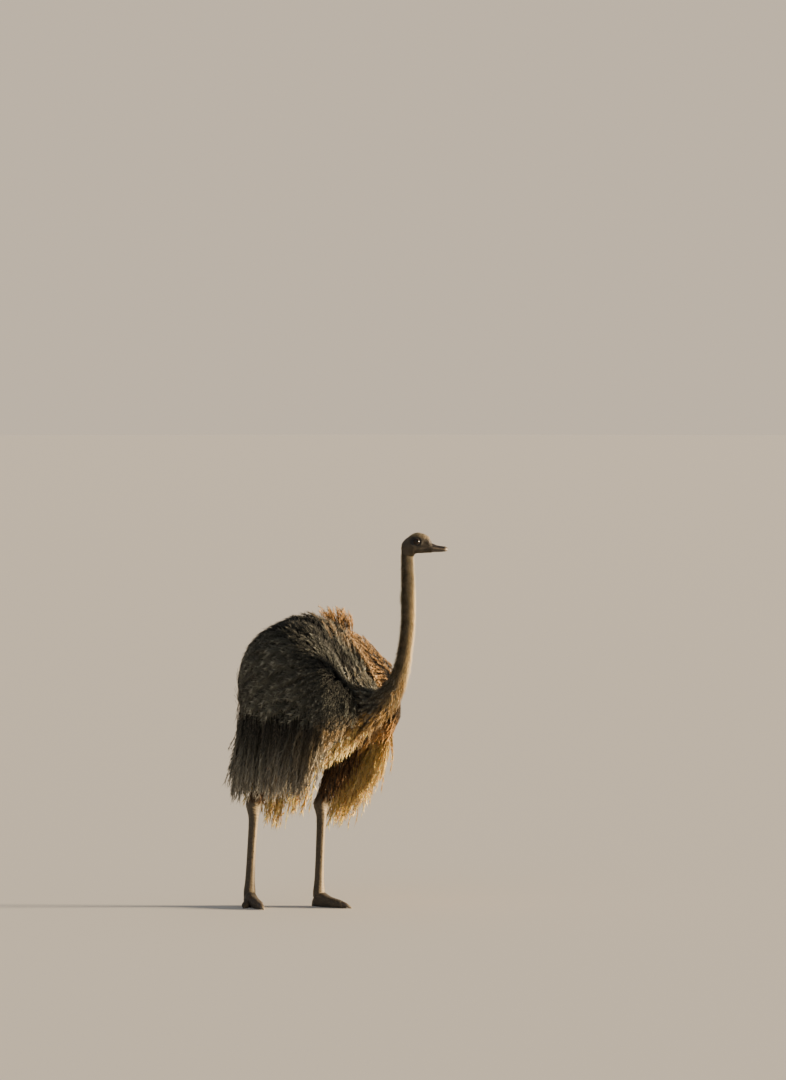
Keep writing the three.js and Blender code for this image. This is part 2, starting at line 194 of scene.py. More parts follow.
TORSO = [
    [-262, 0, 1010, 0, 0, 14, 20, 26, 2, 8],
    [-245, 0, 1008, 0, 0, 46, 74, 104, 2, 26],
    [-195, 0, 1000, 0, 0, 96, 142, 190, 2.1, 40],
    [-105, 0, 990, 0, 0, 154, 232, 268, 2.2, 44],
    [10, 0, 980, 0, 0, 204, 322, 318, 2.2, 44],  # hips
    [125, 0, 972, 0, 0, 222, 376, 328, 2.2, 44],  # top of the back
    [235, 0, 966, 0, 0, 218, 364, 318, 2.2, 44],
    [340, 0, 958, 0, 0, 190, 276, 276, 2.2, 42],  # shoulders
    [430, 0, 950, 0, 0, 152, 194, 210, 2.1, 38],  # breast
    [510, 0, 940, 0, 5, 112, 124, 136, 2, 30],
    [575, 4, 936, 4, 15, 84, 86, 88, 2, 20],  # root of the neck
    [632, 18, 960, 12, 40, 64, 62, 62, 2, 13],
    [672, 38, 1014, 20, 64, 49, 45, 49, 2, 10],
    [698, 58, 1090, 27, 78, 39, 36, 38, 2, 7],
    [713, 72, 1190, 32, 86, 32, 30, 31, 2, 5],
    [722, 80, 1310, 36, 89, 29, 29, 30, 2, 4.5],
    [721, 84, 1435, 40, 92, 29, 30, 30, 2, 4.5],
    [717, 86, 1540, 43, 91, 28, 29, 28, 2, 4],
    fan(90, 56, 29, 2, 4),
    fan(66, 62, 31.5, 2, 3.5),
    fan(42, 80, 35, 2, 3),
    fan(18, 90, 38, 2.1, 2.5),
    face(8, 1619, 1711, 38.5, 2.2, 2.2),  # across the eyes
    face(34, 1621, 1710, 36.5, 2.2, 2),
    face(60, 1623, 1699, 32, 2.2, 1.5),
    face(81, 1624, 1680, 28.5, 2.2, 0.5),
]
BILL_SECTION = 25
print("the torso, neck and head have", len(TORSO), "sections")

# %% [markdown]
# ## Wings
# Each folded wing has a flat body of flesh and bone under its feathers. It could be a form of its own, but
# its sections are those of the feathered wing, drawn in, so that the coat is equally deep all over.

# %% Sections of a wing
WING = [
    [-240, 20, 10, 1010, 40, 70],
    [-200, 44, 38, 1012, 95, 140],
    [-120, 88, 72, 1018, 160, 215],
    [-20, 118, 108, 1022, 226, 255],
    [90, 138, 128, 1028, 266, 275],
    [200, 150, 130, 1028, 268, 275],
    [310, 154, 126, 1020, 222, 258],
    [400, 160, 108, 1005, 166, 226],
    [455, 172, 88, 987, 146, 194],
    [505, 170, 64, 966, 116, 148],
    [556, 116, 34, 950, 66, 82],
]
WING_OFF = {"left": 20, "right": 0}  # how far the front of the wing is held off the body
SIDE = {"left": 1, "right": -1}


def wing_sections(name, thin=1.0, tall=1.0):
    """The sections of one feathered wing, with its thickness and its height drawn in to a share."""
    side = SIDE[name]
    rows = []
    for i, (x, out, half, z, up, down) in enumerate(WING):
        y = side * (out + WING_OFF[name] * min(i / 8, 1))
        rows.append([x, y, z, 0, 0, half * thin, up * tall, down * tall, 2.1, 0])
    return rows


def wing_flesh(name):
    """The bare wing: the feathered one drawn in, with both ends rounded off."""
    rows = between(wing_sections(name, 0.62, 0.74), np.array([1, 2, 3, 4, 5, 6, 7, 8, 9, 10]))
    rows[:, 5:8] *= np.array([0.6, 1, 1, 1, 1, 1, 1, 1, 1, 0.6])[:, None]
    return rows


WING_FLESH = {name: wing_flesh(name) for name in SIDE}
print("each wing is", WING[-1][0] - WING[0][0], "mm long, from", len(WING), "sections")

# %% [markdown]
# ## Legs
# The legs run from the ankle to a knee that is hidden in the flank, and the joint that looks like a backward
# knee is the hock. A leg is a loft as well, with level sections, because a shank is widest from front to
# back and that is easiest to say for each height.

# %% Sections of a leg
LEGS = {
    "left": {"foot": (156, 76), "hock": (150, 100), "knee": (330, 142), "turn": 12},
    "right": {"foot": (-70, -145), "hock": (-32, -152), "knee": (190, -150), "turn": -22},
}
AT_HOCK = 5


def leg_sections(leg):
    """Level sections from the ankle up to the knee. They face straight up, so fore is down and aft is up."""
    foot, hock, knee = (np.array(leg[key], float) for key in ("foot", "hock", "knee"))

    def level(low, high, share, z, half, fore, aft, depth):
        """One section, at a share of the way between two joints."""
        x, y = low + (high - low) * share
        return [x, y, z, 0, 90, half, aft, fore, 2, depth]

    return [
        level(foot, hock, 0, 44, 27, 30, 30, 0.8),
        level(foot, hock, 0, 74, 27, 28, 27, 0.8),
        level(foot, hock, 0.1, 130, 21, 24, 23, 0.8),
        level(foot, hock, 0.45, 270, 18.5, 23, 22, 0.8),
        level(foot, hock, 0.85, 400, 21, 26, 25, 0.8),
        level(hock, knee, 0, 470, 33, 33, 40, 1),
        level(hock, knee, 0.15, 540, 29, 29, 34, 1.5),
        level(hock, knee, 0.46, 660, 48, 54, 58, 6),
        level(hock, knee, 0.74, 760, 60, 78, 80, 16),
        level(hock, knee, 1, 850, 50, 66, 70, 22),
    ]


print("each leg has", len(leg_sections(LEGS["left"])), "sections")

# %% [markdown]
# ## Toes
# An ostrich has only two toes: a big inner one, which carries nearly all its weight, and a small outer one.
# Each is given by a few heights from heel to tip, and its width comes from one formula, so both feet can
# share them.

# %% Sections of a toe
BIG_TOE = [24, 56, 72, 62, 50, 43, 38, 31, 15]  # heights from the heel to the claw
SMALL_TOE = [36, 44, 40, 33, 28, 23, 12]


def toe_sections(leg, heading, start, length, half, heights):
    """A toe that keeps its width along the pads and rounds off at the tip."""
    h = np.radians(heading)
    ahead_of = np.array([np.cos(h), np.sin(h)])
    rows = []
    for share, height in zip(np.linspace(0, 1, len(heights)), heights):
        x, y = np.array(leg["foot"]) + ahead_of * (start + (length - start) * share)
        taper = np.sqrt(1 - abs(2 * share - 1) ** 5) * 0.86 + 0.14 - 0.28 * share
        tall = height / 2 + 2
        rows.append([x, y, height / 2 - 2, heading, 0, half * taper, tall, tall, 2.3, 0.6])
    return rows


def toes(name):
    """The sections of the big inner toe and the small outer toe of one foot."""
    leg = LEGS[name]
    big = toe_sections(leg, leg["turn"], -36, 150, 30, BIG_TOE)
    small = toe_sections(leg, leg["turn"] + SIDE[name] * 36, 0, 104, 20, SMALL_TOE)
    return big, small


print("a foot has toes of", [len(toe) for toe in toes("left")], "sections")

# %% [markdown]
# ## A mesh from a grid of points
# A surface is a grid: rings along it and points round each ring. Two triangles fill each cell, and a fan
# closes each end. The skin is unrolled on a flat map as it is made, because the coat is laid out on the same
# map: round the ring is across, and along the form is up. Unwrapping the finished skin by its seams would
# also do, but here the map is known from the grid, so it is never stretched in a way that nobody planned.

# %% Grid to mesh
def place(points):
    """Design millimetres to metres in the frame."""
    return (points + SHIFT) / 1000


def mesh_object(name, points, faces, corner_map=None, smooth_shade=True):
    """One object from points (n, 3) in design millimetres and triangles (m, 3), with its unrolled map."""
    mesh = bpy.data.meshes.new(name)
    mesh.from_pydata(place(points), [], faces)
    if corner_map is not None:
        layer = mesh.uv_layers.new(name="OFBake")
        layer.data.foreach_set("uv", np.ascontiguousarray(corner_map, np.float32).ravel())
    mesh.polygons.foreach_set("use_smooth", np.full(len(mesh.polygons), smooth_shade))
    made = bpy.data.objects.new(name, mesh)
    bpy.context.scene.collection.objects.link(made)
    return made


def grid_faces(rings, sides):
    """Triangles of a closed grid, and the ring and column of each corner on its unrolled map."""
    i, k = np.meshgrid(np.arange(rings - 1), np.arange(sides), indexing="ij")
    corners = [(i, k), (i, k + 1), (i + 1, k), (i, k + 1), (i + 1, k + 1), (i + 1, k)]
    ring = np.stack([c[0] for c in corners], -1).reshape(-1, 3)
    column = np.stack([c[1] for c in corners], -1).reshape(-1, 3)
    faces = ring * sides + column % sides
    k = np.arange(sides)
    first = rings * sides
    start = np.stack([np.full(sides, first), k + 1, k], -1)
    end = np.stack([np.full(sides, first + 1), k, k + 1], -1)
    cap_start = np.where(np.arange(3) > 0, start % sides, start)
    cap_end = np.where(np.arange(3) > 0, end % sides + (rings - 1) * sides, end)
    faces = np.concatenate([faces, cap_start, cap_end])
    low = np.zeros((sides, 3))
    high = np.full((sides, 3), rings - 1.0)
    middle = (k + 0.5)[:, None]
    column = np.concatenate(
        [
            column,
            np.concatenate([middle, start[:, 1:]], 1),
            np.concatenate([middle, end[:, 1:]], 1),
        ]
    )
    return faces, np.concatenate([ring, low, high]), column


def grid_object(name, grid, chart):
    """A closed object over a grid (rings, sides, 3). chart is its rectangle (left, bottom, right, top)."""
    rings, sides, _ = grid.shape
    faces, ring, column = grid_faces(rings, sides)
    ends = [grid[0].mean(0), grid[-1].mean(0)]
    left, bottom, right, top = chart
    u = left + (right - left) * column / sides
    v = bottom + (top - bottom) * ring / (rings - 1)
    return mesh_object(name, np.concatenate([grid.reshape(-1, 3), ends]), faces, np.stack([u, v], -1))


def normals_of(grid):
    """Outward directions of a grid: the change round the ring crossed with the change along it."""
    round_it = np.roll(grid, -1, 1) - np.roll(grid, 1, 1)
    along_it = np.gradient(grid, axis=0)
    return unit(np.cross(round_it, along_it))


def ripple(points, size, seed):
    """A smooth irregular number near -1 to 1 at each point: the mean of seven sine waves of about one
    length, each running its own way."""
    dice = np.random.default_rng(seed)
    ways = unit(dice.normal(size=(7, 3))) * (2 * np.pi / size) * dice.uniform(0.7, 1.4, (7, 1))
    return np.sin(points @ ways.T + dice.uniform(0, 6.28, 7)).mean(-1) * 1.8


print("a grid of 3 rings of 8 points has", len(grid_faces(3, 8)[0]), "triangles")

# %% [markdown]
# ## The head's lids
# The head is looked at first, so its skin is the most worked. The eyeball is 38 mm across, larger than the
# brain, and the lids ride on it: round an almond opening the skin follows the ball at lid thickness, sinks to
# a furrow behind the lid and then joins the cheek. Lids could be separate shells, but drawing the skin itself
# in leaves no gap. Points near the opening are drawn to its edge first, so that the rim is crisp.

# %% Lids
LID_LONG = 14.5
LID_TALL = 11.8
LID_TILT = np.radians(7)


def head_place(points):
    """How far points are ahead of the throat and out to the left, and their height."""
    away = points - THROAT
    return away @ FACING, away @ LEFT, points[..., 2]


def eye_ring(ahead, height):
    """How far a place on the side of the head is from the eye, with 1 on the edge of the lids: the length of
    (along / half length, across / half height) in axes that tilt down to the bill."""
    a = ahead - EYE_AHEAD
    h = height - EYE_HEIGHT
    along = a * np.cos(LID_TILT) - h * np.sin(LID_TILT)
    over = h * np.cos(LID_TILT) + a * np.sin(LID_TILT)
    return np.hypot(along / LID_LONG, over / LID_TALL)


def with_lids(points):
    """The side of the head drawn in to the eyeball: behind the ball's face inside the opening, about 1.5 mm
    over it at the rim, and blended back to the cheek further out."""
    ahead, out, height = head_place(points)
    side = np.sign(out)
    ring = np.maximum(eye_ring(ahead, height), 1e-6)
    near = np.clip(np.abs(ring - 1) / 0.5, 0, 1)
    drawn = np.where(near < 1, 1 + np.sign(ring - 1) * 0.5 * near**1.5, ring) / ring
    ahead = EYE_AHEAD + (ahead - EYE_AHEAD) * drawn
    height = EYE_HEIGHT + (height - EYE_HEIGHT) * drawn
    ring = ring * drawn
    away = np.hypot(ahead - EYE_AHEAD, height - EYE_HEIGHT)
    ball = EYE_OUT + np.sqrt(EYE_RADIUS**2 - np.minimum(away, 17.5) ** 2)
    cheek = np.abs(out)
    upper = smooth(-4, 6, height - EYE_HEIGHT)
    rim = ball + 0.9 + 0.9 * np.exp(-(((ring - 1.05) / 0.09) ** 2))
    furrow = np.maximum(rim, cheek - 2.2) - 0.9 * upper * np.exp(-(((ring - 1.42) / 0.08) ** 2))
    lid = np.where(ring < 1.0, ball - 6 + (6.9 + 0.65) * smooth(0.86, 1.0, ring), furrow)
    out = side * (cheek + (lid - cheek) * smooth(1.85, 1.3, ring))
    return THROAT * [1, 1, 0] + ahead[..., None] * FACING + out[..., None] * LEFT + height[..., None] * UP


print("the lids open", 2 * LID_LONG, "by", 2 * LID_TALL, "mm on a ball of", 2 * EYE_RADIUS, "mm")

# %% [markdown]
# ## Brow, ear and gape
# The rest of the face is a row of soft forms: the brow, the hollow before the eye, the jaw's muscle and the
# ear. Each is a small bell pushed in or out of the skin, which keeps the surface whole and is as easy to
# change as a lump of clay. The gape, the corner of the mouth, is a groove between two lips.

# %% Brow, cheek, ear and gape
HEAD_FORMS = [
    # ahead, height, half length, half height, how far it stands out
    [8, 1692, 20, 6, 1.6],  # brow
    [-10, 1684, 14, 14, 0.8],  # temple
    [46, 1668, 17, 9, -2.6],  # hollow before the eye
    [60, 1654, 14, 5, 0.9],  # edge over the gape
    [22, 1653, 18, 7, -1.4],  # under the eye
    [-2, 1646, 20, 9, 1.2],  # jaw muscle
    [-26, 1661, 6.5, 8.5, 1.2],  # rim of the ear
    [-26, 1661, 3.6, 5.2, -4.2],  # ear opening
]
GAPE_BACK = 26
BILL_ROOT = 81.8
MOUTH_HEIGHT = 1646


def gape_height(ahead):
    """The mouth line: level at the bill's root and falling away to the back as a parabola."""
    return MOUTH_HEIGHT - 5 * ((BILL_ROOT - ahead) / 56) ** 2


def with_face(points, outward):
    """Each form is a bell: its height times exp(-(a / half length)^2 - (h / half height)^2)."""
    ahead, _, height = head_place(points)
    ring = eye_ring(ahead, height)
    sideways = np.abs(outward @ LEFT)
    push = np.zeros_like(ahead)
    for at_ahead, at_height, long, tall, rise in HEAD_FORMS:
        push += rise * np.exp(-(((ahead - at_ahead) / long) ** 2) - ((height - at_height) / tall) ** 2)
    mouth = height - gape_height(ahead)
    open_mouth = smooth(GAPE_BACK, GAPE_BACK + 10, ahead)
    lips = 0.7 * np.exp(-(((np.abs(mouth) - 3.4) / 1.7) ** 2))
    push += open_mouth * (lips - 2.2 * np.exp(-((mouth / 1.3) ** 2)))
    crease = 0.35 * ripple(points * [1, 1, 2.2], 5, 3) + 0.25 * ripple(points, 2.6, 4)
    off_lids = smooth(1.6, 2.1, ring)
    horn_edge = -(1 + 6.5 * smooth(1652, 1674, height)) * smooth(60, 81.5, ahead) ** 2
    push = push * sideways * off_lids + horn_edge
    push = push + crease * (0.35 + 0.65 * off_lids) * smooth(0.9, 1.15, ring)
    return points + outward * push[..., None]


print(len(HEAD_FORMS), "soft forms on each side of the head")

# %% [markdown]
# ## Rings where they are needed
# The body is under the coat, so it has few rings. The neck has one about every 6 mm, and the head one about
# every millimetre or less. Round the head the points also crowd towards its sides, where the lids are. A
# subdivision surface would put as many points on the rump as on the lids, and most would be wasted.

# %% The grid of the torso, neck and head
RING_STOPS = [0, 9, 10, 12, 17.5, 18.5, 21, 21.5, 22.8, 23.3, 25]
RINGS_EACH = [4, 4, 12, 17, 18, 34, 36, 50, 46, 28, 24]  # rings in one step between sections, at each stop
TORSO_SIDES = 148

fine = np.linspace(0, BILL_SECTION, 4000)
rings_so_far = np.cumsum(np.interp(fine, RING_STOPS, RINGS_EACH)) * (fine[1] - fine[0])
ring_count = int(rings_so_far[-1])
ring_positions = np.interp(np.linspace(0, rings_so_far[-1], ring_count), rings_so_far, fine)
ring_positions[0] = 0


def crowd(position, turn):
    """Turns drawn towards the two sides of the head: turn - c/2 sin(2 turn)."""
    return turn - 0.24 * smooth(18, 21, position) * np.sin(2 * turn)


position_grid = np.repeat(ring_positions[:, None], TORSO_SIDES, 1)
turn_grid = crowd(position_grid, np.repeat(turns_round(TORSO_SIDES)[None], ring_count, 0))
torso_grid = around(TORSO, position_grid, turn_grid)
torso_normals = normals_of(torso_grid)

neckness = smooth(10.5, 12.5, position_grid) * smooth(20.5, 18, position_grid)
folds = 0.9 * ripple(torso_grid * [1, 1, 2.4], 30, 1) + 0.5 * ripple(torso_grid * [1, 1, 3], 13, 2)
torso_grid = torso_grid + torso_normals * (folds * neckness)[..., None]
headness = smooth(18.3, 19.3, position_grid)[..., None]
shaped = with_face(with_lids(torso_grid), torso_normals)
torso_grid = torso_grid + (shaped - torso_grid) * headness
print("torso, neck and head:", torso_grid.shape, "points")

# %% [markdown]
# ## Scales of the legs and feet
# The front of a bird's shank is armoured with wide plates called scutes, like roof tiles that overlap
# downwards. Each plate is thickest at its lower edge, which makes a saw-toothed outline. The toes have a row
# of plates on top and soft pads below, which flatten on the floor.

# %% Legs and toes as grids
SCUTE = 14.0
TOE_SCUTE = 9.0


def leg_grid(name):
    """Rings every 3 mm up the shank and every 10 mm up the thigh, with plates down the front."""
    position = np.concatenate([np.linspace(0, AT_HOCK, 140), np.linspace(AT_HOCK, 9, 38)[1:]])
    position, turn = np.meshgrid(position, turns_round(40), indexing="ij")
    grid = around(leg_sections(LEGS[name]), position, turn)
    outward = normals_of(grid)
    height = grid[..., 2]
    front = smooth(0.35, 0.8, -np.sin(turn)) * smooth(50, 80, height) * smooth(470, 430, height)
    back = smooth(0.35, 0.8, np.sin(turn)) * smooth(50, 80, height) * smooth(450, 410, height)
    plate = 1 - np.mod(height / SCUTE + 0.2 * np.cos(turn), 1)
    small = 1 - np.mod(height / (SCUTE * 0.55) + 0.5, 1)
    sinew = 2.0 * np.exp(-((np.abs(np.cos(turn)) - 0.55) ** 2) / 0.02) * smooth(470, 400, height)
    knuckle = 3.5 * np.exp(-(((height - 470) / 34) ** 2)) * np.abs(np.cos(turn)) ** 2
    wrinkle = 1.3 * np.exp(-(((height - 474) / 60) ** 2)) * ripple(grid * [1, 1, 2.5], 26, 5)
    push = 1.3 * plate * front + 0.6 * small * back - sinew * 0.5 + knuckle + wrinkle
    push += 0.25 * ripple(grid, 7, 6)
    return grid + outward * push[..., None]


def toe_grid(sections, floor):
    """Rings along a toe with plates above and two swellings below; nothing lies under the floor."""
    along = np.linspace(0, len(sections) - 1, 76)
    position, turn = np.meshgrid(along, turns_round(32), indexing="ij")
    grid = around(sections, position, turn)
    outward = normals_of(grid)
    ahead = position / (len(sections) - 1)
    length = np.linalg.norm(grid[-1].mean(0) - grid[0].mean(0))
    top = smooth(0.2, 0.7, np.sin(turn)) * smooth(0.2, 0.3, ahead)
    plate = np.mod(ahead * length / TOE_SCUTE, 1)
    pads = 1.2 * np.cos(ahead * 6 * np.pi) * smooth(0.4, -0.2, np.sin(turn))
    grid = grid + outward * (1.1 * plate * top + pads + 0.25 * ripple(grid, 5, 7))[..., None]
    grid[..., 2] = np.maximum(grid[..., 2], floor)
    return grid


print("the plates of the shanks are", SCUTE, "mm high and those of the toes", TOE_SCUTE, "mm")

# %% [markdown]
# ## One skin
# The forms cross each other, and an exact union makes one closed skin of them, with no seam and nothing
# left inside. A voxel remesh would join them too, but it would blur the lids and lose the unrolled map, which
# the union keeps.

# %% Join the forms
def join(base, others):
    """The union of closed objects, as the base object."""
    for other in others:
        modifier = base.modifiers.new("join " + other.name, "BOOLEAN")
        modifier.operation = "UNION"
        modifier.solver = "MANIFOLD"
        modifier.object = other
    settled = base.evaluated_get(bpy.context.evaluated_depsgraph_get())
    joined = bpy.data.meshes.new_from_object(settled)
    base.modifiers.clear()
    base.data = joined
    for other in others:
        bpy.data.objects.remove(other)
    return base


STRIP = {"left": 0.01, "right": 0.51}  # where each side's strip of the unrolled map begins
skin = grid_object("skin", torso_grid, (0.01, 0.27, 0.99, 0.99))
flesh = []
for name, start in STRIP.items():
    along = np.linspace(0, len(WING_FLESH[name]) - 1, 30)
    position, turn = np.meshgrid(along, turns_round(36), indexing="ij")
    wing_grid = around(WING_FLESH[name], position, turn)
    flesh.append(grid_object("wing flesh " + name, wing_grid, (start, 0.14, start + 0.22, 0.25)))
    flesh.append(grid_object("leg " + name, leg_grid(name), (start, 0.01, start + 0.2, 0.13)))
    for which, sections in enumerate(toes(name)):
        left = start + 0.22 + 0.12 * which
        toe = toe_grid(sections, 0.02 + 0.25 * which)
        flesh.append(grid_object(f"toe {which} {name}", toe, (left, 0.01, left + 0.1, 0.13)))
join(skin, flesh)
print("skin:", len(skin.data.polygons), "faces")

# %% [markdown]
# ## The outline of the feathered body
# Feathers grow from the skin but end on the outline of the plumage. That outline is the smooth union of the
# feathered trunk and the two feathered wings. For any point it gives how far outside it lies, and the
# direction straight out of it, and with these a feather can find its way like a hair under a comb. Blender's
# hair tools comb by hand, and a field like this one gives the same coat every time.

# %% Distance from the outline
OUTLINE_FORMS = [between(np.array(rows), np.linspace(0, len(rows) - 1, 240)) for rows in (
    TORSO[:11],
    wing_sections("left"),
    wing_sections("right"),
)]
SOFT_JOIN = [[120, 400], [14.0, 48.0]]  # how softly the forms join at two places along the body


def outside_form(form, points):
    """How far points lie outside one form, along the spoke from its middle line: spoke * (1 - 1 / ratio),
    where ratio is 1 on the form's own oval."""
    columns = (1, 2, 5, 6, 7, 8)
    y, z, side, up, down, square = (np.interp(points[..., 0], form[:, 0], form[:, c]) for c in columns)
    dy = points[..., 1] - y
    dz = points[..., 2] - z
    tall = np.where(dz > 0, up, down)
    ratio = ((np.abs(dy) / side) ** square + (np.abs(dz) / tall) ** square) ** (1 / square)
    spoke = np.hypot(dy, dz)
    depth = spoke - spoke / np.maximum(ratio, 1e-6)
    beyond = np.maximum(np.maximum(form[0, 0] - points[..., 0], points[..., 0] - form[-1, 0]), 0)
    return np.where(beyond > 0, np.hypot(np.maximum(depth, 0), beyond), depth)


def outside(points):
    """How far points lie outside the plumage: the smooth least of the forms, -k log(sum exp(-d / k)), where
    the softness k grows towards the shoulders."""
    each = np.stack([outside_form(form, points) for form in OUTLINE_FORMS])
    least = each.min(0)
    soft = np.interp(points[..., 0], *SOFT_JOIN)
    return least - soft * np.log(np.exp(-(each - least) / soft).sum(0))


def straight_out(points, step=6.0):
    """The direction in which the distance grows fastest, by differences along the three axes."""
    axes = np.eye(3) * step
    return unit(np.stack([outside(points + axis) - outside(points - axis) for axis in axes], -1))


print("the middle of the trunk is", round(float(-outside(np.array([125.0, 0, 972])))), "mm inside the coat")

# %% [markdown]
# ## How a feather grows
# The shaft of each feather starts at its root on the skin. At every step it goes the way the coat lies there,
# back along the body and a little down, turned outwards or inwards just enough to reach its layer, and
# near its tip it gives way to its own weight.

# %% Shafts
BACK = np.array([-1.0, 0.0, 0.0])


def lie_of(points, out):
    """The way the coat lies: back and down, most steeply down on the breast and the rump, kept level with the
    surface by taking away the part that points straight out."""
    x = points[..., 0]
    z = points[..., 2]
    droop = 0.3 + 1.1 * smooth(380, 560, x) * smooth(1160, 920, z)
    droop = droop + 0.75 * smooth(0, -200, x) + 0.35 * smooth(950, 780, z)
    way = BACK - droop[..., None] * UP
    return unit(way - out * (way * out).sum(-1, keepdims=True))


def grow(roots, length, steps, layer, hang, stray=0.1):
    """Shafts (n, steps + 1, 3) and their outward directions. layer is the depth at which a tip should lie,
    and hang is how far a tip gives way to its weight, from 0 to 1."""
    here = roots.copy()
    shafts = [here]
    outs = []
    swerve = chance.normal(0, stray, (len(roots), 1))
    stride = (length / steps)[:, None]
    for step in range(steps):
        out = straight_out(here)
        way = lie_of(here, out)
        way = unit(way + np.cross(out, way) * swerve)
        left_to_go = length * (1 - step / steps)
        climb = np.clip((layer - outside(here)) / left_to_go, -0.35, 0.8)[:, None]
        way = unit(way + out * climb)
        sink = (hang * smooth(0.25, 1, (step + 1) / steps))[:, None]
        way = unit(way * (1 - sink) - UP * sink)
        here = here + way * stride
        shafts.append(here)
        outs.append(out)
    outs.append(outs[-1])
    return np.stack(shafts, 1), np.stack(outs, 1)


print("on top of the back the coat lies along", lie_of(np.array([125.0, 0, 1348]), UP).round(2))

# %% [markdown]
# ## Barbs
# One small shape makes every barb, hair and bristle: a thorn with three sides, closed at its root and
# pointed at its tip. It has four points and four triangles, so there can be very many of them, and fine
# ones look far more like down than a few broad ones do.

# %% Thorns and feathers
THORN = np.array([[0, 1, 3], [1, 2, 3], [2, 0, 3], [0, 2, 1]])
PATCH = 0.003  # how wide a feather's place on the unrolled map is


def thorns(at, way, over, length, width, thick):
    """Thorns (..., 4, 3): three points at the root and one at the tip, at + way * length. over is the upper
    side, and width and thick are whole sizes at the root."""
    across = unit(np.cross(over, way))
    over = unit(np.cross(way, across))
    half = width[..., None] / 2
    top = at + over * thick[..., None]
    return np.stack([at - across * half, at + across * half, top, at + way * length[..., None]], -2)


def tube(shaft, across, up, radius):
    """A three-sided shaft (n, 3 (steps) + 1, 3) that tapers to a point, and its triangles."""
    count, steps, _ = shaft.shape
    taper = radius * (1 - np.linspace(0, 1, steps)) ** 0.7 + 0.05
    r = taper[None, :, None]
    rings = [shaft - across * r, shaft + across * r, shaft + up * r * 1.6]
    points = np.stack(rings, 2)[:, :-1].reshape(count, -1, 3)
    points = np.concatenate([points, shaft[:, -1:]], 1)
    faces = []
    for i in range(steps - 2):
        a = 3 * i
        for j in range(3):
            k = (j + 1) % 3
            faces += [[a + j, a + k, a + 3 + k], [a + j, a + 3 + k, a + 3 + j]]
    a = 3 * (steps - 2)
    faces += [[a, a + 1, a + 3], [a + 1, a + 2, a + 3], [a + 2, a, a + 3], [0, 2, 1]]
    return points, np.array(faces)


def feathers(
    shaft, up, reach, pairs, root_map, tone, warm, start=0.3, sweep=(60, 26), sag=0.15, thick=0.8, stem=0.7
):
    """Loose feathers as one batch of points, triangles and paint. Barbs leave the shaft in pairs from the
    share `start` of its length, at angles that close from sweep[0] to sweep[1] degrees, and they sag at their
    tips."""
    count, steps, _ = shaft.shape
    ahead = unit(np.gradient(shaft, axis=1))
    up = unit(up - ahead * (up * ahead).sum(-1, keepdims=True))
    across = np.cross(up, ahead)
    share = np.repeat(np.linspace(start, 0.97, pairs), 2)
    share = np.clip(share + chance.uniform(-0.3, 0.3, 2 * pairs) * (1 - start) / pairs, 0, 1)
    side = np.tile([1.0, -1.0], pairs)
    spot = share * (steps - 1)
    low = np.clip(spot.astype(int), 0, steps - 2)
    mix = (spot - low)[None, :, None]
    at, way, over, out = (
        v[:, low] * (1 - mix) + v[:, low + 1] * mix for v in (shaft, ahead, across, up)
    )
    way = unit(way)
    shape = np.sin(np.pi * (0.2 + 0.56 * (share - start) / (1 - start))) ** 0.8
    length = reach[:, None] * shape * chance.uniform(0.55, 1.25, (count, 2 * pairs))
    angle = np.interp(share, [start, 1], sweep) + chance.normal(0, 13, (count, 2 * pairs))
    angle = np.radians(angle)[..., None]
    barb = np.cos(angle) * way + np.sin(angle) * side[:, None] * over
    sag = np.broadcast_to(np.asarray(sag, float), (count,))[:, None, None]
    droop = sag * chance.uniform(0.4, 1.4, (count, 2 * pairs, 1))
    lift = out * chance.uniform(-0.25, 0.32, (count, 2 * pairs, 1))
    barb = unit(barb + 0.25 * way - UP * droop * 0.5 + lift)
    gap = np.linalg.norm(np.diff(shaft, axis=1), axis=-1).sum(1)[:, None] * (1 - start) / pairs
    width = gap * np.abs(np.sin(angle[..., 0])) * 1.1 + 0.7
    barbs = thorns(at, barb, out, length, width, np.full_like(length, thick))
    stems, stem_faces = tube(shaft, across, up, stem)
    barb_faces = stems.shape[1] + (THORN[None] + 4 * np.arange(2 * pairs)[:, None, None]).reshape(-1, 3)
    points = np.concatenate([stems, barbs.reshape(count, -1, 3)], 1)
    along = np.concatenate([np.repeat(np.linspace(0, 1, steps)[:-1], 3), [1], np.repeat(share, 4)])
    edge = np.concatenate([np.zeros(stems.shape[1]), np.tile([0, 0, 0, 1], 2 * pairs)])
    sides = np.concatenate([np.zeros(stems.shape[1]), np.repeat(side, 4)])
    own = np.repeat(chance.normal(0, 0.12, (count, 2 * pairs)), 4, 1)
    own = np.concatenate([np.zeros((count, stems.shape[1])), own], 1)
    return {
        "points": points,
        "faces": np.concatenate([stem_faces, barb_faces]),
        "plume": np.stack(np.broadcast_arrays(np.clip(tone[:, None] + own, 0, 1), along, edge), -1),
        "warm": np.broadcast_to(warm[:, None], points.shape[:2]),
        "map": root_map[:, None] + PATCH * np.stack([0.5 + 0.5 * edge * sides, along], -1),
    }


print("a barb has", len(THORN), "triangles")
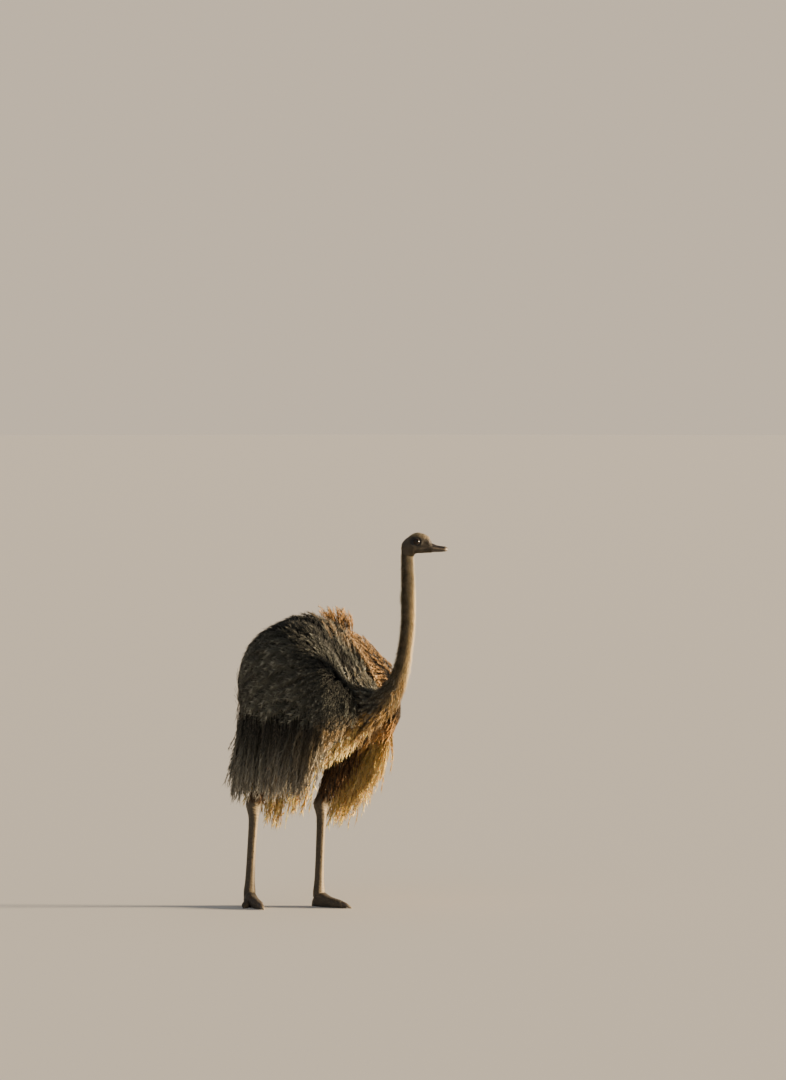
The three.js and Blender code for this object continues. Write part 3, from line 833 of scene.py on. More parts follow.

# %% [markdown]
# A coat piece is many such batches in one mesh. Two kinds of paint ride on its points: `plume` holds each
# feather's own tone, how far along the shaft a point is and how far out on its barb, and `warm` says how
# golden the plumage is there, partly its own buff and partly painted sunlight. Below zero, `warm` is painted
# shade that turns the plumage grey and dark. The map gives every feather a patch 0.003 wide at its root's
# place.

# %% Batches to a coat piece
def coat(name, batches):
    """One object from batches of like feathers."""
    points = []
    faces = []
    corners = []
    plume = []
    warm = []
    begin = 0
    for batch in batches:
        count, each, _ = batch["points"].shape
        first = begin + each * np.arange(count)[:, None, None]
        local = np.arange(count)[:, None, None] * each + batch["faces"]
        points.append(batch["points"].reshape(-1, 3))
        faces.append((first + batch["faces"]).reshape(-1, 3))
        corners.append(batch["map"].reshape(-1, 2)[local.reshape(-1)])
        plume.append(batch["plume"].reshape(-1, 3))
        warm.append(batch["warm"].reshape(-1))
        begin += count * each
    faces = np.concatenate(faces)
    made = mesh_object(name, np.concatenate(points), faces, np.concatenate(corners).reshape(-1, 3, 2))
    attribute = made.data.attributes.new("plume", "FLOAT_VECTOR", "POINT")
    attribute.data.foreach_set("vector", np.concatenate(plume).astype(np.float32).ravel())
    attribute = made.data.attributes.new("warm", "FLOAT", "POINT")
    attribute.data.foreach_set("value", np.concatenate(warm).astype(np.float32))
    print(name, "has", len(faces), "triangles")
    return made


# %% [markdown]
# ## Roots on the skin
# Feathers sit in rows across the body, each row set half a step from the one before, as roof tiles are. The
# rows follow the rings of a form, so their roots lie on the skin, and roots that another form covers
# are left out.

# %% Rows of roots
def root_rows(sections, low, high, spacing, bare=True):
    """Positions and turns of roots on a loft between two positions. spacing gives the distance in millimetres
    between roots at a position."""
    turn = np.linspace(0, 2 * np.pi, 161)
    position = low
    positions = []
    turns = []
    odd = 0.0
    while position < high:
        ring = around(sections, np.full(161, position), turn, bare)
        ahead = around(sections, np.full(161, position + 0.05), turn, bare)
        gap = float(spacing(position))
        travelled = np.concatenate([[0], np.cumsum(np.linalg.norm(np.diff(ring, axis=0), axis=1))])
        count = max(int(travelled[-1] / gap), 3)
        share = np.mod((np.arange(count) + odd + chance.uniform(-0.28, 0.28, count)) / count, 1)
        turns.append(np.interp(share * travelled[-1], travelled, turn))
        stretch = np.linalg.norm(ahead - ring, axis=1).mean() / 0.05
        jitter = chance.uniform(-0.3, 0.3, count) * gap / stretch
        positions.append(np.clip(position + jitter, low, high))
        position += gap * 0.9 / stretch
        odd = 0.5 - odd
    return np.concatenate(positions), np.concatenate(turns)


def on_skin(sections, position, turn, bare=True):
    """Points and outward directions of the skin at positions and turns."""
    at = around(sections, position, turn, bare)
    step = 0.02
    along_it = around(sections, position + step, turn, bare) - around(sections, position - step, turn, bare)
    round_it = around(sections, position, turn + step, bare) - around(sections, position, turn - step, bare)
    return at, unit(np.cross(round_it, along_it))


def torso_map(position, turn):
    """Places of roots on the skin's unrolled map, in the rectangle of the torso, neck and head."""
    share = np.interp(position, ring_positions, np.arange(ring_count)) / (ring_count - 1)
    return np.stack([0.01 + 0.98 * np.mod(turn / (2 * np.pi), 1), 0.27 + 0.72 * share], -1)


def patchy(points, size, seed):
    """Tones from 0 to 1 that vary in patches of about one size, with some scatter from feather to feather."""
    return np.clip(0.5 + 0.3 * ripple(points, size, seed) + chance.normal(0, 0.17, points.shape[:-1]), 0, 1)


print("the top of the neck has its patch at", torso_map(np.array(18.0), np.array(np.pi / 2)).round(3))

# %% [markdown]
# ## Feathers of the back and the breast
# The hen is grey brown above and on her flanks. On her right side, away from the light, painted shade makes
# the plumage darker and greyer. Her underside is more golden, partly her own buff and partly painted
# sunlight, and its feathers hang in ragged fringes. Feathers are long on the rump and short where the
# neck begins. They grow from formulas and not from particles, so that each ends as plain, solid mesh.

# %% The body coat
SHAFT_STEPS = 5
DEEPEST_ROOT = -110.0


def body_feathers(at, root_map, length, reach, warm, hang, layer, sag, start=0.3, shade=0.0):
    """Feathers at root points that end in their layer under the outline of the plumage. Where two forms meet,
    the skin is deep, and roots more than 46 mm under the outline are brought up to that depth."""
    at = at + straight_out(at) * np.maximum(-outside(at) - 46, 0)[:, None]
    shaft, out = grow(at, length, SHAFT_STEPS, layer, hang)
    grey = right_side_shade(at)
    # Painted shade: on the shaded right side the tone is lowered and warm falls below zero, further where
    # `shade` is high, so the plumage turns grey and dark.
    tone = np.clip(patchy(at, 60, 11) + chance.normal(0, 0.12, len(at)) - 0.15 * grey, 0, 1)
    warm = np.clip(warm, 0, 1) * (1 - 0.6 * grey) - (0.6 + 0.4 * shade) * grey
    return feathers(shaft, out, reach, 17, root_map, tone, warm, start, sag=sag)


def right_side_shade(points):
    """How much painted shade turns the plumage grey and dark: all of the right side, up to a line that falls
    from the top of the shoulders to the root of the neck."""
    aside = (points[..., 0] + points[..., 1]) / np.sqrt(2)
    beyond = (aside - 175) + (points[..., 2] - 1304) / 1.21
    low = points[..., 2] - 0.5 * np.clip(points[..., 0] - 250, 0, 300)
    return smooth(55, -45, beyond + 40 * ripple(points, 80, 23)) * smooth(740, 840, low)


def golden(points):
    """How golden the plumage is: most below a line that rises to the breast, and a little in patches. The
    gold is partly the plumage's own buff and partly painted sunlight.
    """
    rise = 0.5 * np.clip(points[..., 0] - 250, 0, 300)
    return 0.85 * smooth(840, 740, points[..., 2] - rise) + 0.15 * ripple(points, 90, 21)


def torso_coat(name, wanted, gap_rear, gap_front, under):
    """Feathers on the part of the torso where `wanted` is true of the turn."""
    position, turn = root_rows(TORSO, 0.3, 9.8, lambda s: np.interp(s, [6, 9.7], [gap_rear, gap_front]))
    at, _ = on_skin(TORSO, position, turn)
    keep = wanted(turn) & (outside(at) > DEEPEST_ROOT)
    position, turn, at = (v[keep] for v in (position, turn, at))
    front = smooth(6.5, 9.8, position)
    count = len(at)
    beneath = smooth(0.1, 0.7, -np.sin(turn)) * under
    length = (118 - 52 * front + 14 * smooth(3, 1, position)) * chance.uniform(0.85, 1.15, count)
    length = length * (1 + beneath * (0.15 + 0.75 * front) * chance.uniform(0, 1, count))
    reach = (33 - 13 * front) * chance.uniform(0.8, 1.2, count) * (1 - 0.3 * beneath)
    hang = 0.08 + 0.72 * beneath * chance.uniform(0.6, 1, count)
    layer = chance.uniform(-18, -5, count) - chance.uniform(16, 36, count) * beneath
    # The fringe beneath is painted golden, partly its own buff and partly painted sunlight.
    warm = np.maximum(golden(at), beneath * 0.9)
    sag = 0.15 + 0.6 * beneath
    root_map = torso_map(position, turn)
    # The back takes the darkest painted shade on its right side, and the breast takes less.
    return coat(name, [body_feathers(at, root_map, length, reach, warm, hang, layer, sag, shade=1 - under)])


coat_back = torso_coat("coat_back", lambda turn: np.sin(turn) > -0.12, 21.5, 15, 0)
coat_breast = torso_coat("coat_breast", lambda turn: np.sin(turn) <= -0.12, 24, 16, 1)

# %% [markdown]
# ## The collar
# Where the neck rises out of the breast the body's outline ends, so the small feathers there are combed along
# the torso's own sections: each step of a shaft goes a little down the row of sections and a little further
# off the skin.

# %% The collar
def collar():
    """Shafts that follow the loft: position - t * length / stride, off the skin by depth * sin(1.3 t)."""
    position, turn = root_rows(TORSO, 9.0, 12.9, lambda s: np.interp(s, [9, 12.9], [17, 10]))
    count = len(position)
    ahead = around(TORSO, position + 0.05, turn)
    stride = np.linalg.norm(ahead - around(TORSO, position - 0.05, turn), axis=-1) / 0.1
    length = np.interp(position, [9, 11, 12.9], [66, 46, 26]) * chance.uniform(0.75, 1.2, count)
    t = np.linspace(0, 1, SHAFT_STEPS + 1)
    path = position[:, None] - t * (length / stride)[:, None]
    shaft, out = on_skin(TORSO, path, turn[:, None] + 0.2 * chance.normal(size=(count, 1)) * t)
    lift = between(TORSO, path)[..., 9] * chance.uniform(0.55, 1.15, (count, 1)) * np.sin(1.3 * t)
    beneath = smooth(0.0, 0.8, -np.sin(turn))
    hang = (beneath * chance.uniform(5, 26, count))[:, None, None] * (t * t)[:, None]
    shaft = shaft + out * lift[..., None] - UP * hang
    at = shaft[:, 0]
    reach = np.interp(position, [9, 12.9], [20, 9]) * chance.uniform(0.8, 1.2, count)
    # Painted golden beneath, partly its own buff and partly painted sunlight.
    warm = np.clip(0.1 + 0.85 * beneath + 0.1 * ripple(at, 60, 22), 0, 1)
    tone = np.clip(patchy(at, 70, 12) - 0.1, 0, 1)
    root_map = torso_map(position, turn)
    return feathers(shaft, out, reach, 12, root_map, tone, warm, sag=0.15 + 0.3 * beneath, stem=0.5)


coat_collar = coat("coat_collar", [collar()])

# %% [markdown]
# ## Wing coverts
# The folded wing is shingled with soft coverts that fan back and down over the flank. Behind and below them
# start the long plumes. On the very front of the wing the coat parts to both sides, so short extra feathers
# cover the parting.

# %% The coverts of both wings
def wing_map(name, share, turn):
    """Places on the wing's own strip of the skin's unrolled map. share runs from 0 to 1 along the wing."""
    return np.stack([STRIP[name] + 0.22 * np.mod(turn / (2 * np.pi), 1), 0.14 + 0.11 * share], -1)


def shoulder(name):
    """Short feathers on the front of the wing, where the coat parts to flow round it."""
    sections = WING_FLESH[name]
    last = len(sections) - 1
    last_root = last - 0.05
    position, turn = root_rows(sections, 5.0, last_root, lambda s: np.interp(s, [5, last], [14.5, 12.5]))
    at, _ = on_skin(sections, position, turn)
    at = at + straight_out(at) * np.maximum(-outside(at) - 15, 0)[:, None]
    keep = (straight_out(at)[:, 0] > 0.3) & (outside(at) > -40)
    position, turn, at = (v[keep] for v in (position, turn, at))
    count = len(at)
    length = chance.uniform(32, 48, count)
    shaft, out = grow(at, length, 3, chance.uniform(-7, -2, count), np.full(count, 0.05))
    grey = right_side_shade(at)
    # Painted shade: on the right side the tone is lowered and warm falls below zero, so it turns grey and dark.
    tone = np.clip(patchy(at, 110, 11) - 0.2 * grey, 0, 1)
    warm = 0.3 * (1 - grey) - 0.75 * grey
    reach = chance.uniform(15, 21, count)
    return feathers(shaft, out, reach, 7, wing_map(name, position / last, turn), tone, warm, start=0.05)


def wing_coat(name):
    """Feathers over one wing's flesh, out to the outline."""
    sections = WING_FLESH[name]
    last = len(sections) - 1
    gaps = [24.5, 24.5, 20.5, 14.5]
    position, turn = root_rows(sections, 0.05, last - 0.05, lambda s: np.interp(s, [0, 3, 7, 8.2], gaps))
    at, out = on_skin(sections, position, turn)
    facing_out = out[:, 1] * SIDE[name]
    keep = (outside(at) > DEEPEST_ROOT) & (facing_out > np.where(position > 5.5, -1.1, -0.5))
    position, turn, at, facing_out = (v[keep] for v in (position, turn, at, facing_out))
    count = len(at)
    # `shade` deepens the painted shade of the right side on the wing's inner and upper faces.
    shade = smooth(0.5, 0.0, facing_out)
    front = smooth(5, 8, position)
    at = at + straight_out(at) * (front * np.maximum(-outside(at) - 24, 0))[:, None]
    low_edge = smooth(0.0, 0.75, -np.sin(turn))
    length = (122 - 40 * front - 28 * smooth(7, 8.5, position)) * chance.uniform(0.8, 1.15, count)
    length = length + low_edge * (1 - 0.5 * front) * chance.uniform(40, 235, count)
    reach = (33 - 9 * front) * chance.uniform(0.8, 1.2, count) * (1 - 0.2 * low_edge)
    hang = 0.08 + 0.6 * low_edge * chance.uniform(0.5, 1, count)
    layer = chance.uniform(-18, -5, count)
    # The left wing, on the lit side, is painted warmer: partly its own brown and partly painted sunlight.
    warm = golden(at) * 0.8 + 0.3 * (name == "left")
    root_map = wing_map(name, position / last, turn)
    sag = 0.15 + 0.4 * low_edge
    batch = body_feathers(at, root_map, length, reach, warm, hang, layer, sag, 0.16, shade)
    return coat("coverts_" + name, [batch, shoulder(name)])


coverts = {name: wing_coat(name) for name in SIDE}

# %% [markdown]
# ## Ruffled feathers
# A few shoulder feathers of the left wing stand up loosely, as on a bird that has just shaken itself. They
# don't lie with the coat, so they are shafts of their own, in three clumps.

# %% Ruffled feathers
RUFFLED = [(176, 140, 104), (222, 146, 116), (268, 150, 100)]  # where each clump stands, and how high it is
RUFFLE_FOOT = 1262.0
RUFFLE_SUNK = 26  # how deep under the coverts they start


def ruffled(count):
    """Feathers in clumps that rise from under the coverts by t and lean back by 34 t^2."""
    x, y, tall = np.array(RUFFLED, float)[np.arange(count) % len(RUFFLED)].T
    foot = np.full(count, RUFFLE_FOOT - RUFFLE_SUNK)
    root = np.stack([x + chance.normal(0, 15, count), y + chance.normal(0, 9, count), foot], -1)
    t = np.linspace(0, 1, SHAFT_STEPS + 1)[:, None]
    rise = (tall * chance.uniform(0.5, 1.0, count) + RUFFLE_SUNK)[:, None, None]
    lean = chance.normal(0, 1, (count, 1, 3)) * [20, 16, 0] - [34, 0, 0]
    shaft = root[:, None] + UP * rise * t + lean * t * t
    out = unit(np.broadcast_to(LEFT - 0.6 * FACING, shaft.shape))
    reach = chance.uniform(13, 22, count)
    root_map = np.stack([0.01 + 0.22 * chance.uniform(0.2, 0.3, count), 0.14 + 0.11 * (x + 200) / 700], -1)
    tone = patchy(root, 60, 13)
    return feathers(shaft, out, reach, 18, root_map, tone, np.full(count, 0.45), sweep=(48, 22))


coat_ruffle = coat("coat_ruffle", [ruffled(42)])

# %% [markdown]
# ## Hanging plumes
# The long plumes of the wings and tail hang as a curtain of soft strings. Each starts near the lower edge
# of its wing, leans back as it falls and wavers a little. The falls and trails are those of the solid
# model's plumes, with many thinner plumes between them.

# %% Plumes of the wings
FALLS = {
    "left": [560, 620, 540, 300, 250, 590, 550, 470, 395, 320],
    "right": [455, 475, 405, 430, 412, 428, 395, 412, 390, 250],
}
TRAILS = {
    "left": [50, 110, 104, 66, 60, 162, 176, 155, 130, 76],
    "right": [104, 84, 66, 64, 70, 76, 80, 85, 82, 70],
}
PLUME_STEPS = 12


def hanging(root, fall, trail, spread, out, waver=9.0):
    """Shafts that fall from their roots: back by trail (0.7 t + 0.3 t^2), out by spread t and down by fall t,
    wavering more towards the tip."""
    count = len(root)
    t = np.linspace(0, 1, PLUME_STEPS)[None, :, None]
    way = BACK * trail[:, None, None] * (0.7 * t + 0.3 * t * t) - UP * fall[:, None, None] * t
    way = way + out[:, None] * spread[:, None, None] * t
    phase = chance.uniform(0, 6.28, (count, 1, 3))
    speed = chance.uniform(2.5, 6, (count, 1, 3))
    sway = np.sin(phase + speed * t) - np.sin(phase)
    return root[:, None] + way + sway * waver * t * [1, 1, 0]


def plume_curtain(name, low, high, count):
    """The plumes of one wing between two positions along it. Each takes most of its fall and trail from the
    nearest plume of the solid model, so they hang in the same groups, and many stop short in layers."""
    side = SIDE[name]
    shell = wing_sections(name)
    position = chance.uniform(low, high, count)
    v = between(shell, position)
    raised = chance.uniform(0, 1, count)
    inner = chance.uniform(0, 1, count)
    drop = 0.3 + 0.34 * raised
    root = np.stack([v[:, 0], v[:, 1] + side * (v[:, 5] - 20 - 40 * inner), v[:, 2] - v[:, 7] * drop], -1)
    along = np.clip((position - 1.4) / 7.2, 0, 1) * 9 + 0.25 * chance.normal(size=count)
    along = np.clip(along + 0.75 * (np.round(along) - along), 0, 9)
    fall = np.interp(along, range(10), FALLS[name]) + v[:, 7] * (0.42 - drop)
    fall = fall * (0.42 + 0.58 * chance.uniform(0, 1, count) ** 0.45) - 12
    trail = np.interp(along, range(10), TRAILS[name]) * chance.uniform(0.75, 1.1, count)
    outward = np.stack([np.zeros(count), np.full(count, float(side)), np.zeros(count)], -1)
    shaft = hanging(root, fall, trail, chance.uniform(-32, 2, count), outward, 12.0)
    out = np.repeat(unit(outward + 0.25 * chance.normal(size=(count, 3)))[:, None], PLUME_STEPS, 1)
    reach = np.clip(fall * 0.11, 22, 48) * chance.uniform(0.7, 1.25, count)
    root_map = np.stack([STRIP[name] + 0.2 * (1 - raised), 0.14 + 0.11 * along / 9], -1)
    # The left curtain and the front plumes are painted warmer, partly their own buff and partly painted
    # sunlight; the rear of the right curtain is pushed below zero, as painted shade.
    warm = 0.2 + 0.45 * (side > 0) + 0.3 * smooth(6.5, 8.4, position)
    warm = warm + 0.25 * ripple(root, 70, 31) + 0.2 * inner
    warm = np.clip(warm - 0.45 * (side < 0) * smooth(7.5, 4.5, position), -0.4, 1)
    tone = patchy(root, 45, 32)
    return feathers(shaft, out, reach, 40, root_map, tone, warm, 0.1, (32, 13), 0.5, 1.0, 1.0)


CURTAINS = {"rear": (1.1, 4.9, 250), "front": (4.9, 8.65, 260)}
plumes = {}
for name in SIDE:
    for part, (low, high, count) in CURTAINS.items():
        plumes[name, part] = coat(f"plumes_{name}_{part}", [plume_curtain(name, low, high, count)])

# %% [markdown]
# ## The tail
# A hen's tail is a short stub with a bunch of drooping plumes, paler and thinner than the male's. Its plumes
# hang as the wings' do, so they are made the same way, with a belly in each that carries it round the rump.

# %% The tail
def tail_plumes(count):
    """Plumes that fall behind the rump from a short stub of a tail."""
    across = chance.uniform(-1, 1, count)
    deep = chance.uniform(0, 1, count)
    high = 1010 + 62 * chance.uniform(-1, 1, count)
    root = np.stack([-216 + 22 * across**2 + 46 * deep, 52 * across, high], -1)
    fall = (430 - 70 * across**2 + (root[:, 2] - 985)) * (0.62 + 0.38 * chance.uniform(0, 1, count) ** 0.6)
    trail = (40 - 14 * across**2) * chance.uniform(0.6, 1.2, count)
    outward = unit(np.stack([np.full(count, -1.0), 0.7 * across, np.zeros(count)], -1))
    shaft = hanging(root, fall, trail, chance.uniform(-10, 12, count), outward)
    bulge = np.sin(np.linspace(0, np.pi, PLUME_STEPS)) ** 0.7
    shaft = shaft + outward[:, None] * (22 * bulge[None, :, None])
    out = np.repeat(outward[:, None], PLUME_STEPS, 1)
    reach = chance.uniform(30, 48, count)
    root_map = np.stack([0.5 + 0.24 * across, 0.275 + 0.01 * deep], -1)
    tone = patchy(root, 45, 41) * 0.55
    warm = np.clip(0.2 + 0.3 * ripple(root, 60, 42), 0, 1)
    return feathers(shaft, out, reach, 36, root_map, tone, warm, 0.1, (36, 16), 0.45, 1.0, 1.0)


tail = coat("coat_tail", [tail_plumes(170)])

# %% [markdown]
# ## Thighs
# The drumsticks are bare low down. Above, dark brown plumes hang over them from the flank. They start in rows
# on the leg's own sections and fall like those of the wings, only shorter.

# %% Thigh feathers
THIGH_SPAN = (5.45, 8.9)


def thigh_feathers(name):
    """Plumes on one thigh, longest at the top."""
    sections = leg_sections(LEGS[name])
    position, turn = root_rows(sections, *THIGH_SPAN, lambda s: np.interp(s, [5.5, 6.6], [12, 19]))
    at, out = on_skin(sections, position, turn)
    keep = outside(at) > -40
    position, turn, at, out = (v[keep] for v in (position, turn, at, out))
    count = len(at)
    fall = np.interp(position, [5.45, 6.3, 8.9], [26, 66, 150]) * chance.uniform(0.7, 1.25, count)
    spread = 16 * chance.uniform(0, 1, count) ** 2 * smooth(5.6, 6.6, position)
    spread = spread + np.interp(position, [5.45, 6.3], [3, 8])
    shaft = hanging(at, fall, 0.16 * fall, spread, out, 5.0)
    outs = np.repeat(out[:, None], PLUME_STEPS, 1)
    across = np.mod(turn / (2 * np.pi), 1) * 0.2
    root_map = np.stack([STRIP[name] + across, 0.01 + 0.12 * position / 9], -1)
    tone = patchy(at, 45, 51) * 0.5
    warm = np.clip(0.4 + 0.3 * ripple(at, 40, 52), 0, 1)
    reach = np.interp(position, [5.5, 6.6], [8, 18]) * chance.uniform(0.7, 1.25, count)
    return feathers(shaft, outs, reach, 15, root_map, tone, warm, 0.15, (34, 14), 0.4)


thighs = coat("coat_thighs", [thigh_feathers(name) for name in SIDE])

# %% [markdown]
# ## Down of the neck
# The neck wears short hair-like down that is finer towards the head. It lies down the neck and stands out
# enough to blur the outline. A whole feather would be too broad here, so each hair is a single thorn.

# %% Tufts
NAPE_RUFFLE = 1432  # the height at which the down on the nape stands up


def tufts(at, out, way, length, width, root_map, tone, warm):
    """Single thorns that leave the skin along way, as a batch."""
    along = np.array([0, 0, 0, 1])
    plume = np.stack(np.broadcast_arrays(tone[:, None], along, along), -1)
    patch = PATCH * np.stack([[0, 1, 0.5, 0.5], along], -1)
    return {
        "points": thorns(at, unit(way), out, length, width, width * 0.6),
        "faces": THORN,
        "plume": plume,
        "warm": np.broadcast_to(warm[:, None], plume.shape[:2]),
        "map": root_map[:, None] + patch,
    }


def down(low, high, gaps, lengths, lift):
    """Down on the neck between two positions, finer towards the head. gaps and lengths are at those two."""
    position, turn = root_rows(TORSO, low, high, lambda s: np.interp(s, [low, high], gaps))
    at, out = on_skin(TORSO, position, turn)
    below = around(TORSO, position - 0.05, turn)
    along = unit(below - at)
    count = len(at)
    way = along + out * lift * chance.uniform(0.2, 1.2, (count, 1)) ** 1.5
    way = way + 0.2 * chance.normal(size=(count, 3))
    share = (position - low) / (high - low)
    length = (lengths[0] + (lengths[1] - lengths[0]) * share) * chance.uniform(0.7, 1.3, count)
    ruffle = 1 + 0.5 * np.exp(-(((at[:, 2] - NAPE_RUFFLE) / 24) ** 2)) * smooth(0, 0.7, np.sin(turn))
    width = np.interp(share, [0, 1], [1.7, 0.95])
    # The lower front of the neck is painted paler and golden, partly the hen's paler throat and partly painted
    # sunlight on its lit front edge.
    throat = smooth(-0.1, -0.95, np.sin(turn))
    low_part = 1 - 0.75 * smooth(1360, 1560, at[:, 2])
    tone = np.clip(patchy(at, 40, 61) + 0.45 * throat * low_part - 0.2, 0, 1)
    warm = np.clip(throat * low_part + 0.1 * chance.normal(size=count), 0, 1)
    return tufts(at, out, way, length * ruffle, width, torso_map(position, turn), tone, warm)


neck_down = coat("coat_neck", [down(11.2, 18.6, (2.9, 1.9), (26, 11), 0.8)])

# %% [markdown]
# ## Bristles and lashes
# On the head the down becomes stiff bristles, longest on the crown, and long lashes shade the upper lids.
# They must stand on the sculpted face and not on the plain loft, so their roots are looked up in its grid.

# %% Bristles and lashes of the head
def head_roots(low, high, gap):
    """Roots on the sculpted head: its grid is read between its points."""
    position, turn = root_rows(TORSO, low, high, lambda s: gap)
    row = np.interp(position, ring_positions, np.arange(ring_count))
    plain = np.linspace(-0.5, 7, 4000)
    column = np.interp(turn, crowd(position.mean(), plain), plain) / (2 * np.pi) * TORSO_SIDES - 0.5
    i = np.clip(np.round(row).astype(int), 0, ring_count - 1)
    k = np.mod(np.round(column).astype(int), TORSO_SIDES)
    return position, turn, torso_grid[i, k], head_normals[i, k]


head_normals = normals_of(torso_grid)


def bristles():
    """Short hairs that lie back over the head, longest on the crown, with none round the eyes or in the
    gape."""
    position, turn, at, out = head_roots(18.4, 24.95, 1.6)
    ahead, aside, height = head_place(at)
    ring = eye_ring(ahead, height)
    on_side = np.abs(aside) > 14
    off_gape = (ahead < GAPE_BACK + 4) | (np.abs(height - gape_height(ahead)) > 2.5)
    keep = (~on_side | (ring > 1.75)) & off_gape
    position, turn, at, out, ahead, height = (v[keep] for v in (position, turn, at, out, ahead, height))
    count = len(at)
    back = unit(-FACING * smooth(-60, 20, ahead)[:, None] - UP * 0.9 * smooth(30, -40, ahead)[:, None])
    way = back + out * chance.uniform(0.15, 0.6, (count, 1)) + 0.2 * chance.normal(size=(count, 3))
    crown = smooth(1690, 1704, height + 0.8 * np.maximum(ahead - 40, 0))
    length = (4.5 + 5.5 * crown * smooth(85, 45, ahead)) * chance.uniform(0.6, 1.4, count)
    width = np.full(count, 0.75)
    # The crown's bristles are painted paler and warmer, partly their own beige and partly a painted highlight.
    tone = np.clip(0.3 + 0.6 * smooth(0, 40, ahead) * crown + chance.normal(0, 0.15, count), 0, 1)
    return tufts(at, out, way, length, width, torso_map(position, turn), tone, 0.25 + 0.7 * crown)


def lashes(side):
    """A row of lashes along the upper lid, sweeping out, back and up."""
    count = 26
    turn = np.linspace(0.12 * np.pi, 0.93 * np.pi, count) + chance.normal(0, 0.02, count)
    a = np.cos(turn) * LID_LONG * 1.04
    h = np.sin(turn) * LID_TALL * 1.04
    ahead = EYE_AHEAD + a * np.cos(LID_TILT) + h * np.sin(LID_TILT)
    height = EYE_HEIGHT + h * np.cos(LID_TILT) - a * np.sin(LID_TILT)
    away = np.hypot(ahead - EYE_AHEAD, height - EYE_HEIGHT)
    out = EYE_OUT + np.sqrt(EYE_RADIUS**2 - away**2) + 1.2
    at = THROAT * [1, 1, 0] + ahead[:, None] * FACING + side * out[:, None] * LEFT + height[:, None] * UP
    way = side * LEFT + 0.5 * UP - 0.25 * FACING + 0.3 * np.cos(turn)[:, None] * FACING
    way = way + 0.08 * chance.normal(size=(count, 3))
    length = chance.uniform(8, 12, count)
    root_map = torso_map(np.full(count, 22.0), np.full(count, 0.2))
    none = np.zeros(count)
    width = np.full(count, 0.8)
    return tufts(at, np.broadcast_to(UP, at.shape), way + 0.3 * UP, length, width, root_map, none, none)


head_bristles = coat("bristles_head", [bristles(), lashes(1), lashes(-1)])

# %% [markdown]
# ## Eyes
# An ostrich has the largest eye of any land animal: a dark brown iris round a wide pupil, under a clear
# cornea that bulges. The ball is a grid of circles round the line of sight, and `gaze` tells the material
# how far from that line each point is.

# %% Eyeballs
def eyeball(name):
    """A ball that looks out to its side and a little forward, with a raised cornea."""
    low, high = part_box("eye_" + name)
    centre = (np.array(low) + np.array(high)) / 2 * 1000 - SHIFT
    radius = EYE_RADIUS
    aim = unit(SIDE[name] * LEFT + 0.22 * FACING)
    right = unit(np.cross(aim, UP))
    over = np.cross(right, aim)
    polar = np.linspace(0.012, np.pi - 0.012, 64)
    turn = 2 * np.pi * np.arange(64) / 64
    polar, turn = np.meshgrid(polar, turn, indexing="ij")
    cornea = 0.7 * smooth(0.85, 0.35, polar)
    ball = (radius + cornea - 0.05)[..., None] * (
        np.cos(polar)[..., None] * aim
        + np.sin(polar)[..., None] * (np.cos(turn)[..., None] * right + np.sin(turn)[..., None] * over)
    )
    made = grid_object("eyeball_" + name, (centre + ball)[:, ::-1], (0.1, 0.1, 0.9, 0.9))
    gaze = np.concatenate([polar.ravel(), [0, np.pi]]).astype(np.float32)
    made.data.attributes.new("gaze", "FLOAT", "POINT").data.foreach_set("value", gaze)
    turns = np.concatenate([np.sin(turn[:, ::-1] * 9).ravel(), [0, 0]]).astype(np.float32)
    made.data.attributes.new("spoke", "FLOAT", "POINT").data.foreach_set("value", turns)
    return made


eyes = {name: eyeball(name) for name in SIDE}
print("the eyeballs have", [len(made.data.vertices) for made in eyes.values()], "points")

# %% [markdown]
# ## Bill
# The bill is flat, broad and blunt. Its upper half carries a ridge, the culmen, which ends in a hard nail
# over the tip, and a slit of a nostril lies in a groove on each side of the ridge. The lower half is a
# shallower trough that fits under it.

# %% Both halves of the bill
BILL_LENGTH = 69.0


def bill_half_width(t):
    """Half the width at a share t of the length: it narrows evenly, then rounds off as a superellipse."""
    rounded = np.maximum(1 - np.maximum(0, (t - 0.72) / 0.285) ** 2.4, 0.0004)
    return 28.5 * (1 - 0.42 * t) * np.sqrt(rounded)


def bill_grid(top_of, bottom_of, share, rings=110, sides=72):
    """Half superellipses, domed away from the mouth line and nearly flat along it, from inside the face,
    where they are smaller, to the tip. share is the half's length against the whole bill's."""
    near_tip = 0.7 + 0.3 * np.sin(np.linspace(0, np.pi / 2, rings - 59))[1:]
    t = np.concatenate([np.linspace(-0.15, 0.7, 60), near_tip])
    t, turn = np.meshgrid(t, turns_round(sides), indexing="ij")
    ahead = BILL_ROOT + BILL_LENGTH * share * t
    high = top_of(np.maximum(t, 0))
    low = bottom_of(np.maximum(t, 0))
    c, s = squared(turn, 2 / 2.3)
    inside = 1 - 0.5 * np.maximum(-t, 0)
    out = bill_half_width(np.clip(t, 0, 1)) * c * inside
    if share == 1.0:
        height = low + np.where(s > 0, (high - low) * s * inside, 0.3 * s)
    else:
        height = high + np.where(s < 0, (high - low) * s * inside, 0.3 * s)
    return t, turn, ahead, out, height


def to_bird(ahead, out, height):
    """Places by how far ahead, to the left and high they are, as points of the bird."""
    return THROAT * [1, 1, 0] + ahead[..., None] * FACING + out[..., None] * LEFT + height[..., None] * UP


def mouth_line(t):
    """The meeting of the two halves falls gently to the tip."""
    return MOUTH_HEIGHT - 0.13 * BILL_LENGTH * t


def bill_ridge(t):
    """The top of the bill: it dips below the forehead, runs on nearly level and ends blunt. Behind its root
    it slopes down under the skin of the face."""
    ahead = np.maximum(t, 0)
    return 1665.5 - 12.5 * (1 - np.exp(-ahead / 0.2)) - 4 * ahead - 6 * ahead**8 + 30 * np.minimum(t, 0)


